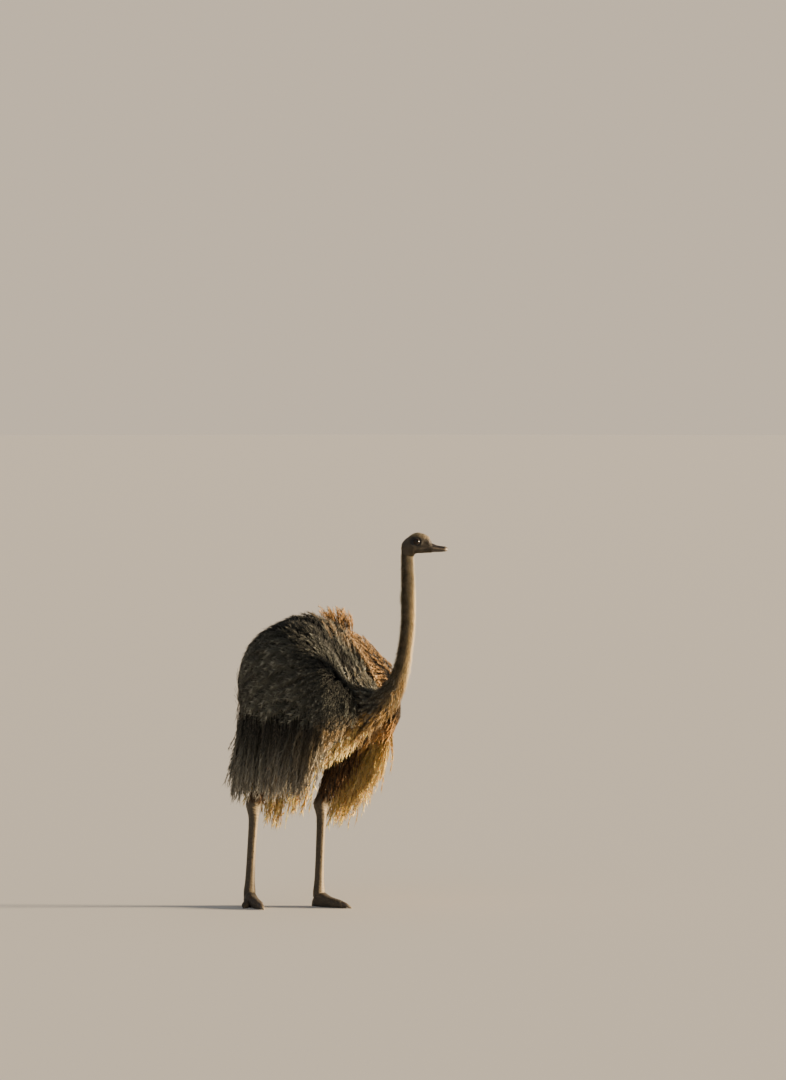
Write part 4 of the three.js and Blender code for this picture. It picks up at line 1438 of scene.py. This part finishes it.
def upper_bill():
    """The ridge stands 2 mm proud, the nail is parted from it by a groove, and the nostrils are sunk."""
    t, turn, ahead, out, height = bill_grid(bill_ridge, lambda t: mouth_line(t) + 0.3, 1.0)
    top = smooth(0.0, 0.5, np.sin(turn))
    ridge_half = 8 - 3 * np.clip(t, 0, 1)
    ridge = 2.0 * np.exp(-((out / ridge_half) ** 4)) * smooth(-0.02, 0.15, t) * smooth(1.0, 0.75, t)
    nail = smooth(0.72, 0.78, t + 0.006 * np.abs(out)) * 0.9
    groove = -1.1 * np.exp(-(((t + 0.004 * np.abs(out) - 0.735) / 0.018) ** 2))
    channel = -1.5 * np.exp(-(((np.abs(out) - ridge_half - 3.2) / 2.2) ** 2))
    channel = channel * smooth(0.0, 0.1, t) * smooth(0.72, 0.6, t)
    nostril = -3.6 * np.exp(-(((t - 0.42) / 0.085) ** 4) - ((np.abs(out) - ridge_half - 3.0) / 1.5) ** 2)
    growth = 0.12 * np.sin(t * 90 + 2 * ripple(np.stack([t * 40, out, height], -1), 30, 71))
    height = height + (ridge + nail + groove + channel + nostril) * top + growth * 0.4 * top
    lip = 0.8 * np.exp(-(((height - mouth_line(np.clip(t, 0, 1)) - 1.6) / 1.4) ** 2)) * smooth(0.98, 0.8, t)
    return to_bird(ahead, out + np.sign(out) * lip * (np.abs(out) > 3), height)


def lower_bill():
    """A trough with a soft middle and harder edges."""
    t, turn, ahead, out, height = bill_grid(
        lambda t: mouth_line(t) - 0.3, lambda t: 1625.4 + 2 * t + 5 * t**6, 0.95
    )
    under = smooth(0.1, 0.6, -np.sin(turn))
    groove = 1.2 * np.exp(-(((np.abs(out) - 11 + 5 * np.clip(t, 0, 1)) / 2.0) ** 2)) * smooth(0.95, 0.8, t)
    nail = -0.7 * smooth(0.76, 0.82, t)
    return to_bird(ahead, out * 0.97, height + (groove + nail) * under)


bill_upper = grid_object("beak_upper", upper_bill(), (0.02, 0.02, 0.48, 0.98))
bill_lower = grid_object("beak_lower", lower_bill(), (0.52, 0.02, 0.98, 0.98))
print("the bill stands", BILL_LENGTH, "mm out of the face")

# %% [markdown]
# ## Claws
# Only the big toe has a strong claw. It is a blunt, slightly hooked hoof-like nail, flat below and worn at
# its tip, with fine growth lines along it. It is a short loft with the growth lines pushed out of it.

# %% Claws of the big toes
CLAW = [
    # ahead of the ankle, half width, height, lift
    [132, 13, 22, 8],
    [148.8, 12, 20, 4],
    [165.6, 9, 13, 1],
    [180, 2.5, 4, 0.5],
]


def claw(name):
    """The claw of one big toe: ovals along the toe's heading that shrink to the tip."""
    leg = LEGS[name]
    heading = np.radians(leg["turn"])
    rows = []
    for ahead, half, height, lift in CLAW:
        x = leg["foot"][0] + np.cos(heading) * ahead
        y = leg["foot"][1] + np.sin(heading) * ahead
        rows.append([x, y, lift + height / 2, leg["turn"], 0, half, height / 2, height / 2, 2.2, 0])
    position = np.append(np.linspace(0, 2.7, 40), 2.7 + 0.3 * np.sin(np.linspace(0.1, np.pi / 2, 12)))
    position, turn = np.meshgrid(position, turns_round(40), indexing="ij")
    grid = around(rows, position, turn)
    out = normals_of(grid)
    lines = 0.18 * np.sin(turn * 26) * smooth(2.9, 2.0, position) + 0.2 * np.sin(position * 16)
    grid = grid + out * (lines * smooth(-0.4, 0.2, np.sin(turn)) - 0.1)[..., None]
    grid[..., 2] = np.maximum(grid[..., 2], 0.05)
    return grid_object("nail_" + name, grid, (0.05, 0.05, 0.95, 0.95))


claws = {name: claw(name) for name in SIDE}
print("each claw is", CLAW[-1][0] - CLAW[0][0], "mm long")

# %% [markdown]
# ## Materials
# Every material is one Principled shader. Small groups of nodes give it what changes over the surface, and
# the numbers that are the same all over, such as sheen, are set on the shader itself.

# %% Short ways to make nodes
def linear(code):
    """A colour written as six hexadecimal digits, as the linear red, green, blue and alpha of a shader."""
    value = np.array([int(code[i : i + 2], 16) for i in (0, 2, 4)]) / 255
    return (*np.where(value <= 0.04045, value / 12.92, ((value + 0.055) / 1.055) ** 2.4), 1.0)


def node(tree, kind, inputs=None, **settings):
    """A node with its settings, and each input linked to a socket or set to a value."""
    made = tree.nodes.new(kind)
    for key, value in settings.items():
        setattr(made, key, value)
    for key, value in (inputs or {}).items():
        if isinstance(value, bpy.types.NodeSocket):
            tree.links.new(value, made.inputs[key])
        else:
            made.inputs[key].default_value = value
    return made


def math_node(tree, operation, a, b, clamp=False):
    """One sum on two numbers or sockets."""
    return node(tree, "ShaderNodeMath", {0: a, 1: b}, operation=operation, use_clamp=clamp).outputs[0]


def attribute(tree, name, output="Fac"):
    """What is painted on the points under a name."""
    return node(tree, "ShaderNodeAttribute", attribute_name=name).outputs[output]


def noise(tree, scale, detail, distortion=0.0):
    """Uneven patches from 0 to 1, fixed to the piece."""
    at = node(tree, "ShaderNodeTexCoord").outputs["Object"]
    sockets = {"Vector": at, "Scale": scale, "Detail": detail, "Distortion": distortion}
    return node(tree, "ShaderNodeTexNoise", sockets).outputs["Fac"]


def ranged(tree, value, low, high, to_low=0.0, to_high=1.0, kind="LINEAR"):
    """A value carried from one range to another, and held at its ends."""
    sockets = {0: value, 1: low, 2: high, 3: to_low, 4: to_high}
    return node(tree, "ShaderNodeMapRange", sockets, interpolation_type=kind).outputs[0]


def times(tree, colour, value):
    """A colour made darker or lighter by a number."""
    grey = node(tree, "ShaderNodeCombineXYZ", {0: value, 1: value, 2: value}).outputs[0]
    return mix_colours(tree, 1.0, colour, grey, "MULTIPLY")


def mix_colours(tree, factor, a, b, blend="MIX"):
    """Two colours mixed by a factor."""
    made = node(tree, "ShaderNodeMix", {0: factor, 6: a, 7: b}, data_type="RGBA", blend_type=blend)
    return made.outputs[2]


def new_group(name, inputs, outputs):
    """An empty node group with named sockets; inputs are (name, kind, default)."""
    tree = bpy.data.node_groups.new(name, "ShaderNodeTree")
    for label, kind, default in inputs:
        socket = tree.interface.new_socket(label, in_out="INPUT", socket_type="NodeSocket" + kind)
        if default is not None:
            socket.default_value = default
    for label, kind in outputs:
        tree.interface.new_socket(label, in_out="OUTPUT", socket_type="NodeSocket" + kind)
    return tree, tree.nodes.new("NodeGroupInput").outputs, tree.nodes.new("NodeGroupOutput").inputs


def new_material(name, **shader):
    """A material with its Principled shader, whose named inputs are set to constants."""
    material = bpy.data.materials.new(name)
    material.use_nodes = True
    tree = material.node_tree
    principled = tree.nodes["Principled BSDF"]
    for key, value in shader.items():
        principled.inputs[key.replace("_", " ")].default_value = value
    return material, tree, principled


def place_group(tree, group, **inputs):
    """A group placed in a material."""
    return node(tree, "ShaderNodeGroup", {k.replace("_", " "): v for k, v in inputs.items()}, node_tree=group)


def surface_material(name, group, strength, depth, masks=(), **shader):
    """A finish whose colour, gloss and relief come from a group that is fed with paint and masks."""
    material, tree, principled = new_material(name, **shader)
    fed = {mask.capitalize(): attribute(tree, mask) for mask in masks}
    placed = place_group(tree, group, Paint=attribute(tree, "paint", "Color"), **fed).outputs
    bump = node(tree, "ShaderNodeBump", {"Height": placed["Height"], "Strength": strength, "Distance": depth})
    tree.links.new(placed["Color"], principled.inputs["Base Color"])
    tree.links.new(placed["Roughness"], principled.inputs["Roughness"])
    tree.links.new(bump.outputs["Normal"], principled.inputs["Normal"])
    return material


print("the hexadecimal grey 808080 is", round(linear("808080")[0], 3), "in linear light")

# %% [markdown]
# ## Plumage
# A feather is darkest at the root and along the shaft, partly its own colour and partly painted shade where
# other feathers hide it. The free ends of its barbs are paler, as if dusted, and this gives the mottled look.
# Tones change from feather to feather. Where `warm` is high, the grey brown turns to a golden brown, partly
# the plumage's own buff and partly painted sunlight. Below zero it turns to a cool grey, which darkens past
# -0.6: this is painted shade.

# %% The plumage group
plumage, given, result = new_group(
    "plumage",
    [
        ("Plume", "Vector", None),
        ("Warmth", "Float", 0.0),
        ("Deep", "Color", linear("2a2621")),
        ("Main", "Color", linear("6f675c")),
        ("Gold", "Color", linear("9a7345")),
        ("Tip", "Color", linear("b3a48c")),
        ("Tip share", "Float", 0.6),
        ("Tip start", "Float", 0.7),
    ],
    [("Color", "Color")],
)
tone, along, out_on_barb = node(plumage, "ShaderNodeSeparateXYZ", {0: given["Plume"]}).outputs
warmed = mix_colours(plumage, given["Warmth"], given["Main"], given["Gold"])
# Painted shade: below zero, warm turns the colour and the pale tips to a cool grey.
painted_shade_grey = math_node(plumage, "MULTIPLY", given["Warmth"], -1.6)
body_tone = mix_colours(plumage, painted_shade_grey, warmed, linear("4d4f46"))
open_part = ranged(plumage, along, 0.1, 0.75, kind="SMOOTHSTEP")
# The root and the shaft are darker, partly their own colour and partly painted shade.
colour_now = mix_colours(plumage, open_part, given["Deep"], body_tone)
free_end = math_node(plumage, "MULTIPLY", out_on_barb, 0.22)
near_tip = ranged(plumage, along, given["Tip start"], 1.0)
tip_share = math_node(plumage, "ADD", free_end, math_node(plumage, "MULTIPLY", near_tip, 0.8))
tip_share = math_node(plumage, "MULTIPLY", tip_share, given["Tip share"])
tip_share = math_node(plumage, "MULTIPLY", tip_share, math_node(plumage, "ADD", tone, 0.35), True)
warm_tip = mix_colours(plumage, 0.5, given["Tip"], given["Gold"])
pale_tip = mix_colours(plumage, given["Warmth"], given["Tip"], warm_tip)
pale_tip = mix_colours(plumage, painted_shade_grey, pale_tip, linear("98978b"))
colour_now = mix_colours(plumage, tip_share, colour_now, pale_tip)
light_part = ranged(plumage, tone, 0.0, 1.0, 0.55, 1.4)
# Painted shade: past -0.6 the colour darkens, down to 0.3 of its level at -1.
painted_shade_dark = ranged(plumage, given["Warmth"], -1.0, -0.6, 0.3, 1.0)
light_part = math_node(plumage, "MULTIPLY", light_part, painted_shade_dark)
grain_part = ranged(plumage, noise(plumage, 260.0, 3.0), 0.3, 0.7, 0.8, 1.2)
level = math_node(plumage, "MULTIPLY", light_part, grain_part)
plumage.links.new(times(plumage, colour_now, level), result["Color"])


def plumage_material(name, deep, main, gold, tip, tip_share, tip_start=0.7, glow=0.0):
    """A soft, matt feather finish with its own four colours. glow lets light through the thin barbs."""
    material, tree, principled = new_material(name, Roughness=0.9, Sheen_Weight=0.05, Sheen_Roughness=0.45)
    principled.inputs["Subsurface Weight"].default_value = glow
    principled.inputs["Subsurface Radius"].default_value = (1.0, 0.7, 0.4)
    principled.inputs["Subsurface Scale"].default_value = 0.004
    principled.inputs["Specular IOR Level"].default_value = 0.2
    painted = {"Plume": attribute(tree, "plume", "Vector"), "Warmth": attribute(tree, "warm")}
    colours = {"Deep": linear(deep), "Main": linear(main), "Gold": linear(gold), "Tip": linear(tip)}
    placed = place_group(tree, plumage, **painted, **colours, Tip_share=tip_share, Tip_start=tip_start)
    tree.links.new(placed.outputs["Color"], principled.inputs["Base Color"])
    return material


def dress(made, material, replaced=()):
    """Gives a piece its finish, attaches it to the root body and hides the solid nodes that it stands for."""
    made.data.materials.clear()
    made.data.materials.append(material)
    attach(made, "root")
    if replaced:
        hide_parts(*replaced)
    return made


FEATHER_FINISHES = {
    # the four colours deep, main, gold and tip, how pale the tips are, where they start, light let through
    # Painted light: the grey feathers and the dark hanging plumes are darker, greyer copies for the shaded
    # right side, and the golden hanging plumes a brighter copy for the sunlit left. The golds of the mantle,
    # breast and neck are partly the bird's own buff and partly painted sunlight, and the neck's dark down is
    # partly painted shade.
    "mantle feathers": ("1c1713", "7a6040", "bd8b4a", "ccae80", 0.9, 0.8),
    "shaded grey feathers": ("161712", "505249", "9a783f", "a5a397", 1.0, 0.8),
    "breast feathers": ("2a1e12", "9c8250", "f2bd68", "f7dda0", 0.85, 0.55, 0.7),
    "shaded hanging plumes": ("0e0d0a", "47463d", "7d6a45", "b0aa9c", 0.9, 0.45),
    "sunlit gold plumes": ("33220f", "a58448", "efbe68", "f7dc9c", 0.9, 0.45, 0.6),
    "thigh plumes": ("17100b", "45311f", "6d4c2a", "8c6a41", 0.5, 0.6),
    "neck down": ("322e28", "413c33", "e2c084", "a59a82", 0.6, 0.4, 0.35),
    "bristles": ("24211d", "433e37", "eed9b2", "a0957c", 0.5, 0.5),
}
finish = {name: plumage_material(name, *numbers) for name, numbers in FEATHER_FINISHES.items()}
dress(coat_back, finish["mantle feathers"])
dress(coat_breast, finish["breast feathers"])
dress(coat_collar, finish["shaded grey feathers"])
dress(coat_ruffle, finish["mantle feathers"])
# The left wing, on the lit side, takes the warmer finish; the right wing takes the grey painted-shade finish.
dress(coverts["left"], finish["mantle feathers"], ["wing_left"])
dress(coverts["right"], finish["shaded grey feathers"], ["wing_right"])
# The left plumes take the sunlit copy and the right plumes the shaded copy.
sunlit_and_shaded_plumes = {"left": finish["sunlit gold plumes"], "right": finish["shaded hanging plumes"]}
for (name, part), made in plumes.items():
    dress(made, sunlit_and_shaded_plumes[name], [f"plumes_{name}_{part}"])
dress(tail, finish["shaded hanging plumes"], ["tail"])
dress(thighs, finish["thigh plumes"])
dress(neck_down, finish["neck down"])
dress(head_bristles, finish["bristles"])
print(len(finish), "feather finishes")

# %% [markdown]
# ## Paint on the skin
# The bare skin is a greyish brown. It is dark round the eyes and painted dark under the coat, as shade in the
# gaps between feathers. The crown is pale, partly its own colour and partly a painted highlight, and the
# shanks are dark and horny, partly their own colour and partly painted shade, with fronts rubbed paler. Those
# broad colours are paint on the skin's points, because they follow the bird's parts and a pattern of nodes
# can't know where the crown is.

# %% Paint on the skin
def rgb(code):
    """Three linear numbers of a colour."""
    return np.array(linear(code)[:3])


def blend(base, other, share):
    """Colours moved towards another by a share at each point."""
    return base + (other - base) * share[..., None]


def points_of(made):
    """The points of an object in design millimetres."""
    flat = np.zeros(len(made.data.vertices) * 3, np.float32)
    made.data.vertices.foreach_get("co", flat)
    return flat.reshape(-1, 3).astype(float) * 1000 - SHIFT


def paint(made, name, values):
    """Colours (n, 3) or numbers (n,) on the points of an object."""
    if values.ndim == 2:
        values = np.concatenate([values, np.ones((len(values), 1))], 1)
        attribute = made.data.attributes.new(name, "FLOAT_COLOR", "POINT")
        attribute.data.foreach_set("color", values.astype(np.float32).ravel())
    else:
        attribute = made.data.attributes.new(name, "FLOAT", "POINT")
        attribute.data.foreach_set("value", values.astype(np.float32))


where = points_of(skin)
ahead, aside, height = head_place(where)
on_head = smooth(1600, 1625, height)
beside_eye = smooth(2.7, 1.4, eye_ring(ahead, height)) * (np.abs(aside) > 12)
shank = smooth(520, 440, height)
facing = np.zeros(len(where) * 3, np.float32)
skin.data.vertices.foreach_get("normal", facing)
facing = facing.reshape(-1, 3)[:, 0]
# Painted shade: the skin under the coat is painted dark, so that gaps between feathers read as shadow.
painted_shade_under_coat = np.maximum(smooth(1400, 1050, height), smooth(360, 300, where[:, 0] + SHIFT[0]))
skin_paint = np.broadcast_to(rgb("716758"), where.shape)
for colour, share in (
    ("231c14", smooth(640, 700, height) * painted_shade_under_coat),
    ("5e574d", on_head),
    # the crown: partly its own beige and partly a painted highlight
    ("c2aa82", on_head * smooth(1680, 1700, height) * smooth(-20, 30, ahead)),  # crown
    ("1d1915", on_head * beside_eye),
    ("423a32", on_head * smooth(30, 60, ahead) * smooth(1684, 1668, height) * 0.8),  # face
    ("2e261e", smooth(430, 500, height) * smooth(640, 600, height)),  # hocks
    # the shanks: partly their own dark horn and partly painted shade
    ("2a231b", shank),
    ("8c7a5a", shank * smooth(0.6, 1.0, facing)),
    ("332b23", shank * smooth(40, 10, height) * 0.6),  # toes
):
    skin_paint = blend(skin_paint, rgb(colour), share)
paint(skin, "paint", skin_paint)
paint(skin, "scaly", shank)
skin.data.polygons.foreach_set("use_smooth", np.full(len(skin.data.polygons), True))
print("painted", len(where), "points of the skin")

# %% [markdown]
# ## The skin's finish
# Close to, skin has a net of small scales on the legs, pores and blotches. They are far too fine for the
# mesh, so nodes give them: cells for the scales, whose grooves hold pale dust, and noise for the rest.

# %% The skin material
scales, given, result = new_group(
    "scaly skin",
    [("Paint", "Color", None), ("Scaly", "Float", 0.0)],
    [("Color", "Color"), ("Height", "Float"), ("Roughness", "Float")],
)
cell_sockets = {"Vector": node(scales, "ShaderNodeTexCoord").outputs["Object"], "Scale": 210.0}
to_edge = node(scales, "ShaderNodeTexVoronoi", cell_sockets, feature="DISTANCE_TO_EDGE").outputs[0]
rim = ranged(scales, to_edge, 0.0, 0.16, kind="SMOOTHSTEP")
groove = math_node(scales, "MULTIPLY", math_node(scales, "SUBTRACT", 1.0, rim), given["Scaly"])
dusty = mix_colours(scales, math_node(scales, "MULTIPLY", groove, 0.4), given["Paint"], linear("85785f"))
patches = noise(scales, 34.0, 4.0)
scales.links.new(times(scales, dusty, ranged(scales, patches, 0.3, 0.7, 0.78, 1.2)), result["Color"])
relief = math_node(scales, "MULTIPLY", rim, given["Scaly"])
relief = math_node(scales, "ADD", relief, math_node(scales, "MULTIPLY", noise(scales, 900.0, 3.0), 0.5))
scales.links.new(relief, result["Height"])
scales.links.new(ranged(scales, patches, 0.3, 0.7, 0.5, 0.75), result["Roughness"])

skin_finish = surface_material("bare skin", scales, 0.5, 0.0006, ["scaly"], Sheen_Weight=0.04)
flesh_nodes = ["trunk", "neck_lower", "neck_middle", "neck_upper", "head"]
for name in SIDE:
    flesh_nodes += [f"thigh_{name}", f"shank_{name}", f"toe_inner_{name}", f"toe_outer_{name}"]
dress(skin, skin_finish, flesh_nodes)
print("the skin stands for", len(flesh_nodes), "solids")

# %% [markdown]
# ## Horn
# Bill and claws are the same stuff as a fingernail: a satin horn with fine growth streaks, dark above and
# paler where it wears. The group adds streaks and a slightly uneven gloss to paint on the points. Both
# pieces use it, so it is made once.

# %% Bill and claw finishes
horn, given, result = new_group(
    "horn", [("Paint", "Color", None)], [("Color", "Color"), ("Height", "Float"), ("Roughness", "Float")]
)
streaks = noise(horn, 150.0, 6.0, 0.8)
horn.links.new(times(horn, given["Paint"], ranged(horn, streaks, 0.3, 0.7, 0.75, 1.25)), result["Color"])
fine_marks = math_node(horn, "MULTIPLY", noise(horn, 1400.0, 2.0), 0.4)
horn.links.new(math_node(horn, "ADD", fine_marks, streaks), result["Height"])
horn.links.new(ranged(horn, streaks, 0.3, 0.7, 0.3, 0.5), result["Roughness"])

bill_finish = surface_material("bill horn", horn, 0.35, 0.0004, Coat_Weight=0.1)
claw_finish = surface_material("claw horn", horn, 0.35, 0.0004, Coat_Weight=0.1)
# The bill's dark base colours are partly its own horn and partly painted shade.
for made, solid, base, nail in (
    (bill_upper, "bill_upper", "1f1a16", "5f5648"),
    (bill_lower, "bill_lower", "2a241d", "574e41"),
):
    ahead, _, height = head_place(points_of(made))
    share = (ahead - BILL_ROOT) / BILL_LENGTH
    colours = np.broadcast_to(rgb(base), (len(share), 3))
    colours = blend(colours, rgb(nail), smooth(0.74, 0.86, share))
    colours = blend(colours, rgb("8d7f6c"), 0.6 * smooth(3.5, 1.0, np.abs(height - mouth_line(share))))
    paint(made, "paint", colours)
    dress(made, bill_finish, [solid])
for name, made in claws.items():
    where = points_of(made)
    leg = LEGS[name]
    reach = np.hypot(where[:, 0] - leg["foot"][0], where[:, 1] - leg["foot"][1])
    colours = np.broadcast_to(rgb("4b4239"), where.shape)
    paint(made, "paint", blend(colours, rgb("8b7f6b"), smooth(150, 180, reach)))
    dress(made, claw_finish, ["claw_" + name])
print("horn on", 2 + len(claws), "pieces")

# %% [markdown]
# ## Eye finish
# `gaze` is the angle from the line of sight. The pupil fills about the first 20 degrees, the iris is a warm
# dark brown with faint spokes, and the white outside is almost brown too. A thin clear coat makes it wet.
# A colour ramp on that angle keeps the rings round and sharp, which paint on the points would not.

# %% The eye material
eye_finish, tree, principled = new_material("wet eye", Roughness=0.3, Coat_Weight=0.3, Coat_Roughness=0.02)
principled.inputs["Specular IOR Level"].default_value = 0.2
RAMP_END = 1.5  # the angle at the ramp's end, in radians
bend = math_node(tree, "MULTIPLY", attribute(tree, "spoke"), 0.008)
bent_gaze = math_node(tree, "ADD", attribute(tree, "gaze"), bend)
ramp = node(tree, "ShaderNodeValToRGB", {0: math_node(tree, "DIVIDE", bent_gaze, RAMP_END)})
pupil = [(0.0, "050403"), (0.25, "060403")]
iris = [(0.28, "1d1009"), (0.46, "2c1a0e")]
stops = [*pupil, *iris, (0.53, "0f0805"), (0.6, "221811")]
ramp.color_ramp.elements[0].color = linear(stops[0][1])
ramp.color_ramp.elements[1].position = stops[1][0]
ramp.color_ramp.elements[1].color = linear(stops[1][1])
for at, code in stops[2:]:
    ramp.color_ramp.elements.new(at).color = linear(code)
tree.links.new(ramp.outputs["Color"], principled.inputs["Base Color"])
for name, made in eyes.items():
    dress(made, eye_finish, ["eye_" + name])
print("the pupil ends", round(np.degrees(pupil[1][0] * RAMP_END)), "degrees from the line of sight")

# %% [markdown]
# ## Floor
# The bird stands on a plain pale floor that reaches to the horizon.

# %% Floor
VIEW = np.array([-np.sin(np.radians(45)), np.cos(np.radians(45)), 0.0])
VIEW_RIGHT = np.array([VIEW[1], -VIEW[0], 0.0])
HALF_FLOOR = 900000.0  # nearly a kilometre, in millimetres
corners = np.array([[-1, -1, 0], [1, -1, 0], [1, 1, 0], [-1, 1, 0]]) * HALF_FLOOR
floor_mesh = bpy.data.meshes.new("floor")
floor_mesh.from_pydata(corners / 1000, [], [(0, 1, 2, 3)])
floor = bpy.data.objects.new("floor", floor_mesh)
bpy.context.scene.collection.objects.link(floor)
floor_finish, tree, principled = new_material("pale floor", Roughness=0.9)
principled.inputs["Base Color"].default_value = linear("dedad2")
floor_mesh.materials.append(floor_finish)
print("the floor is", 2 * HALF_FLOOR / 1000, "m across, level with the soles")

# %% [markdown]
# ## Light
# A warm key stands low to the right of the view, so that the underside and the front edge of the neck glow.
# A weak cool fill and an even sky lift the side that faces the camera. Both lights are suns, which light the
# tall neck and the feet alike. The camera sees a warmer sky than the one that lights the bird.

# %% Light
def sun(name, toward, strength, softness, tint):
    """Light from very far away in a direction. softness is the width of the source in degrees."""
    data = bpy.data.lights.new(name, "SUN")
    data.energy = strength
    data.angle = np.radians(softness)
    data.color = tint
    made = bpy.data.objects.new(name, data)
    made.rotation_mode = "QUATERNION"
    made.rotation_quaternion = Vector(-unit(toward)).to_track_quat("-Z", "Y")
    bpy.context.scene.collection.objects.link(made)


sun("key", VIEW_RIGHT + UP * 0.13, 18.0, 9, (1.0, 0.78, 0.52))
sun("fill", VIEW_RIGHT * -0.4 - VIEW + UP * 0.7, 0.3, 60, (0.88, 0.93, 1.0))
world = bpy.data.worlds.new("studio")
bpy.context.scene.world = world
world.use_nodes = True
sky = world.node_tree
seen = node(sky, "ShaderNodeLightPath").outputs["Is Camera Ray"]
backdrop = mix_colours(sky, seen, (0.229, 0.234, 0.242, 1), (0.75, 0.62, 0.47, 1))
sky.links.new(backdrop, sky.nodes["Background"].inputs["Color"])
print("a warm key, a cool fill and an even sky")

# %% [markdown]
# ## Camera
# The camera stands about 20 m away at 2.2 m, half a metre above the bird's crown, and looks very slightly
# down and square on to a line 45 degrees off the bird's axis. From so far the long lens keeps the legs
# upright and the head in proportion.

# %% Camera
VIEW_DISTANCE = 20000.0
VIEW_ASIDE = 502.0
VIEW_HEIGHT = 2184.0
VIEW_DOWN = np.radians(1.476)
LENS = 146.2
camera_data = bpy.data.cameras.new("camera")
camera_data.sensor_width = 36
camera_data.lens = LENS
camera_data.clip_end = 2000
camera = bpy.data.objects.new("camera", camera_data)
camera.location = place(VIEW_RIGHT * VIEW_ASIDE - VIEW * VIEW_DISTANCE + UP * VIEW_HEIGHT)
camera.rotation_mode = "QUATERNION"
aim = Vector(VIEW * np.cos(VIEW_DOWN) - UP * np.sin(VIEW_DOWN))
camera.rotation_quaternion = aim.to_track_quat("-Z", "Y")
bpy.context.scene.collection.objects.link(camera)
bpy.context.scene.camera = camera
print("the camera is at", [round(v, 2) for v in camera.location], "m")
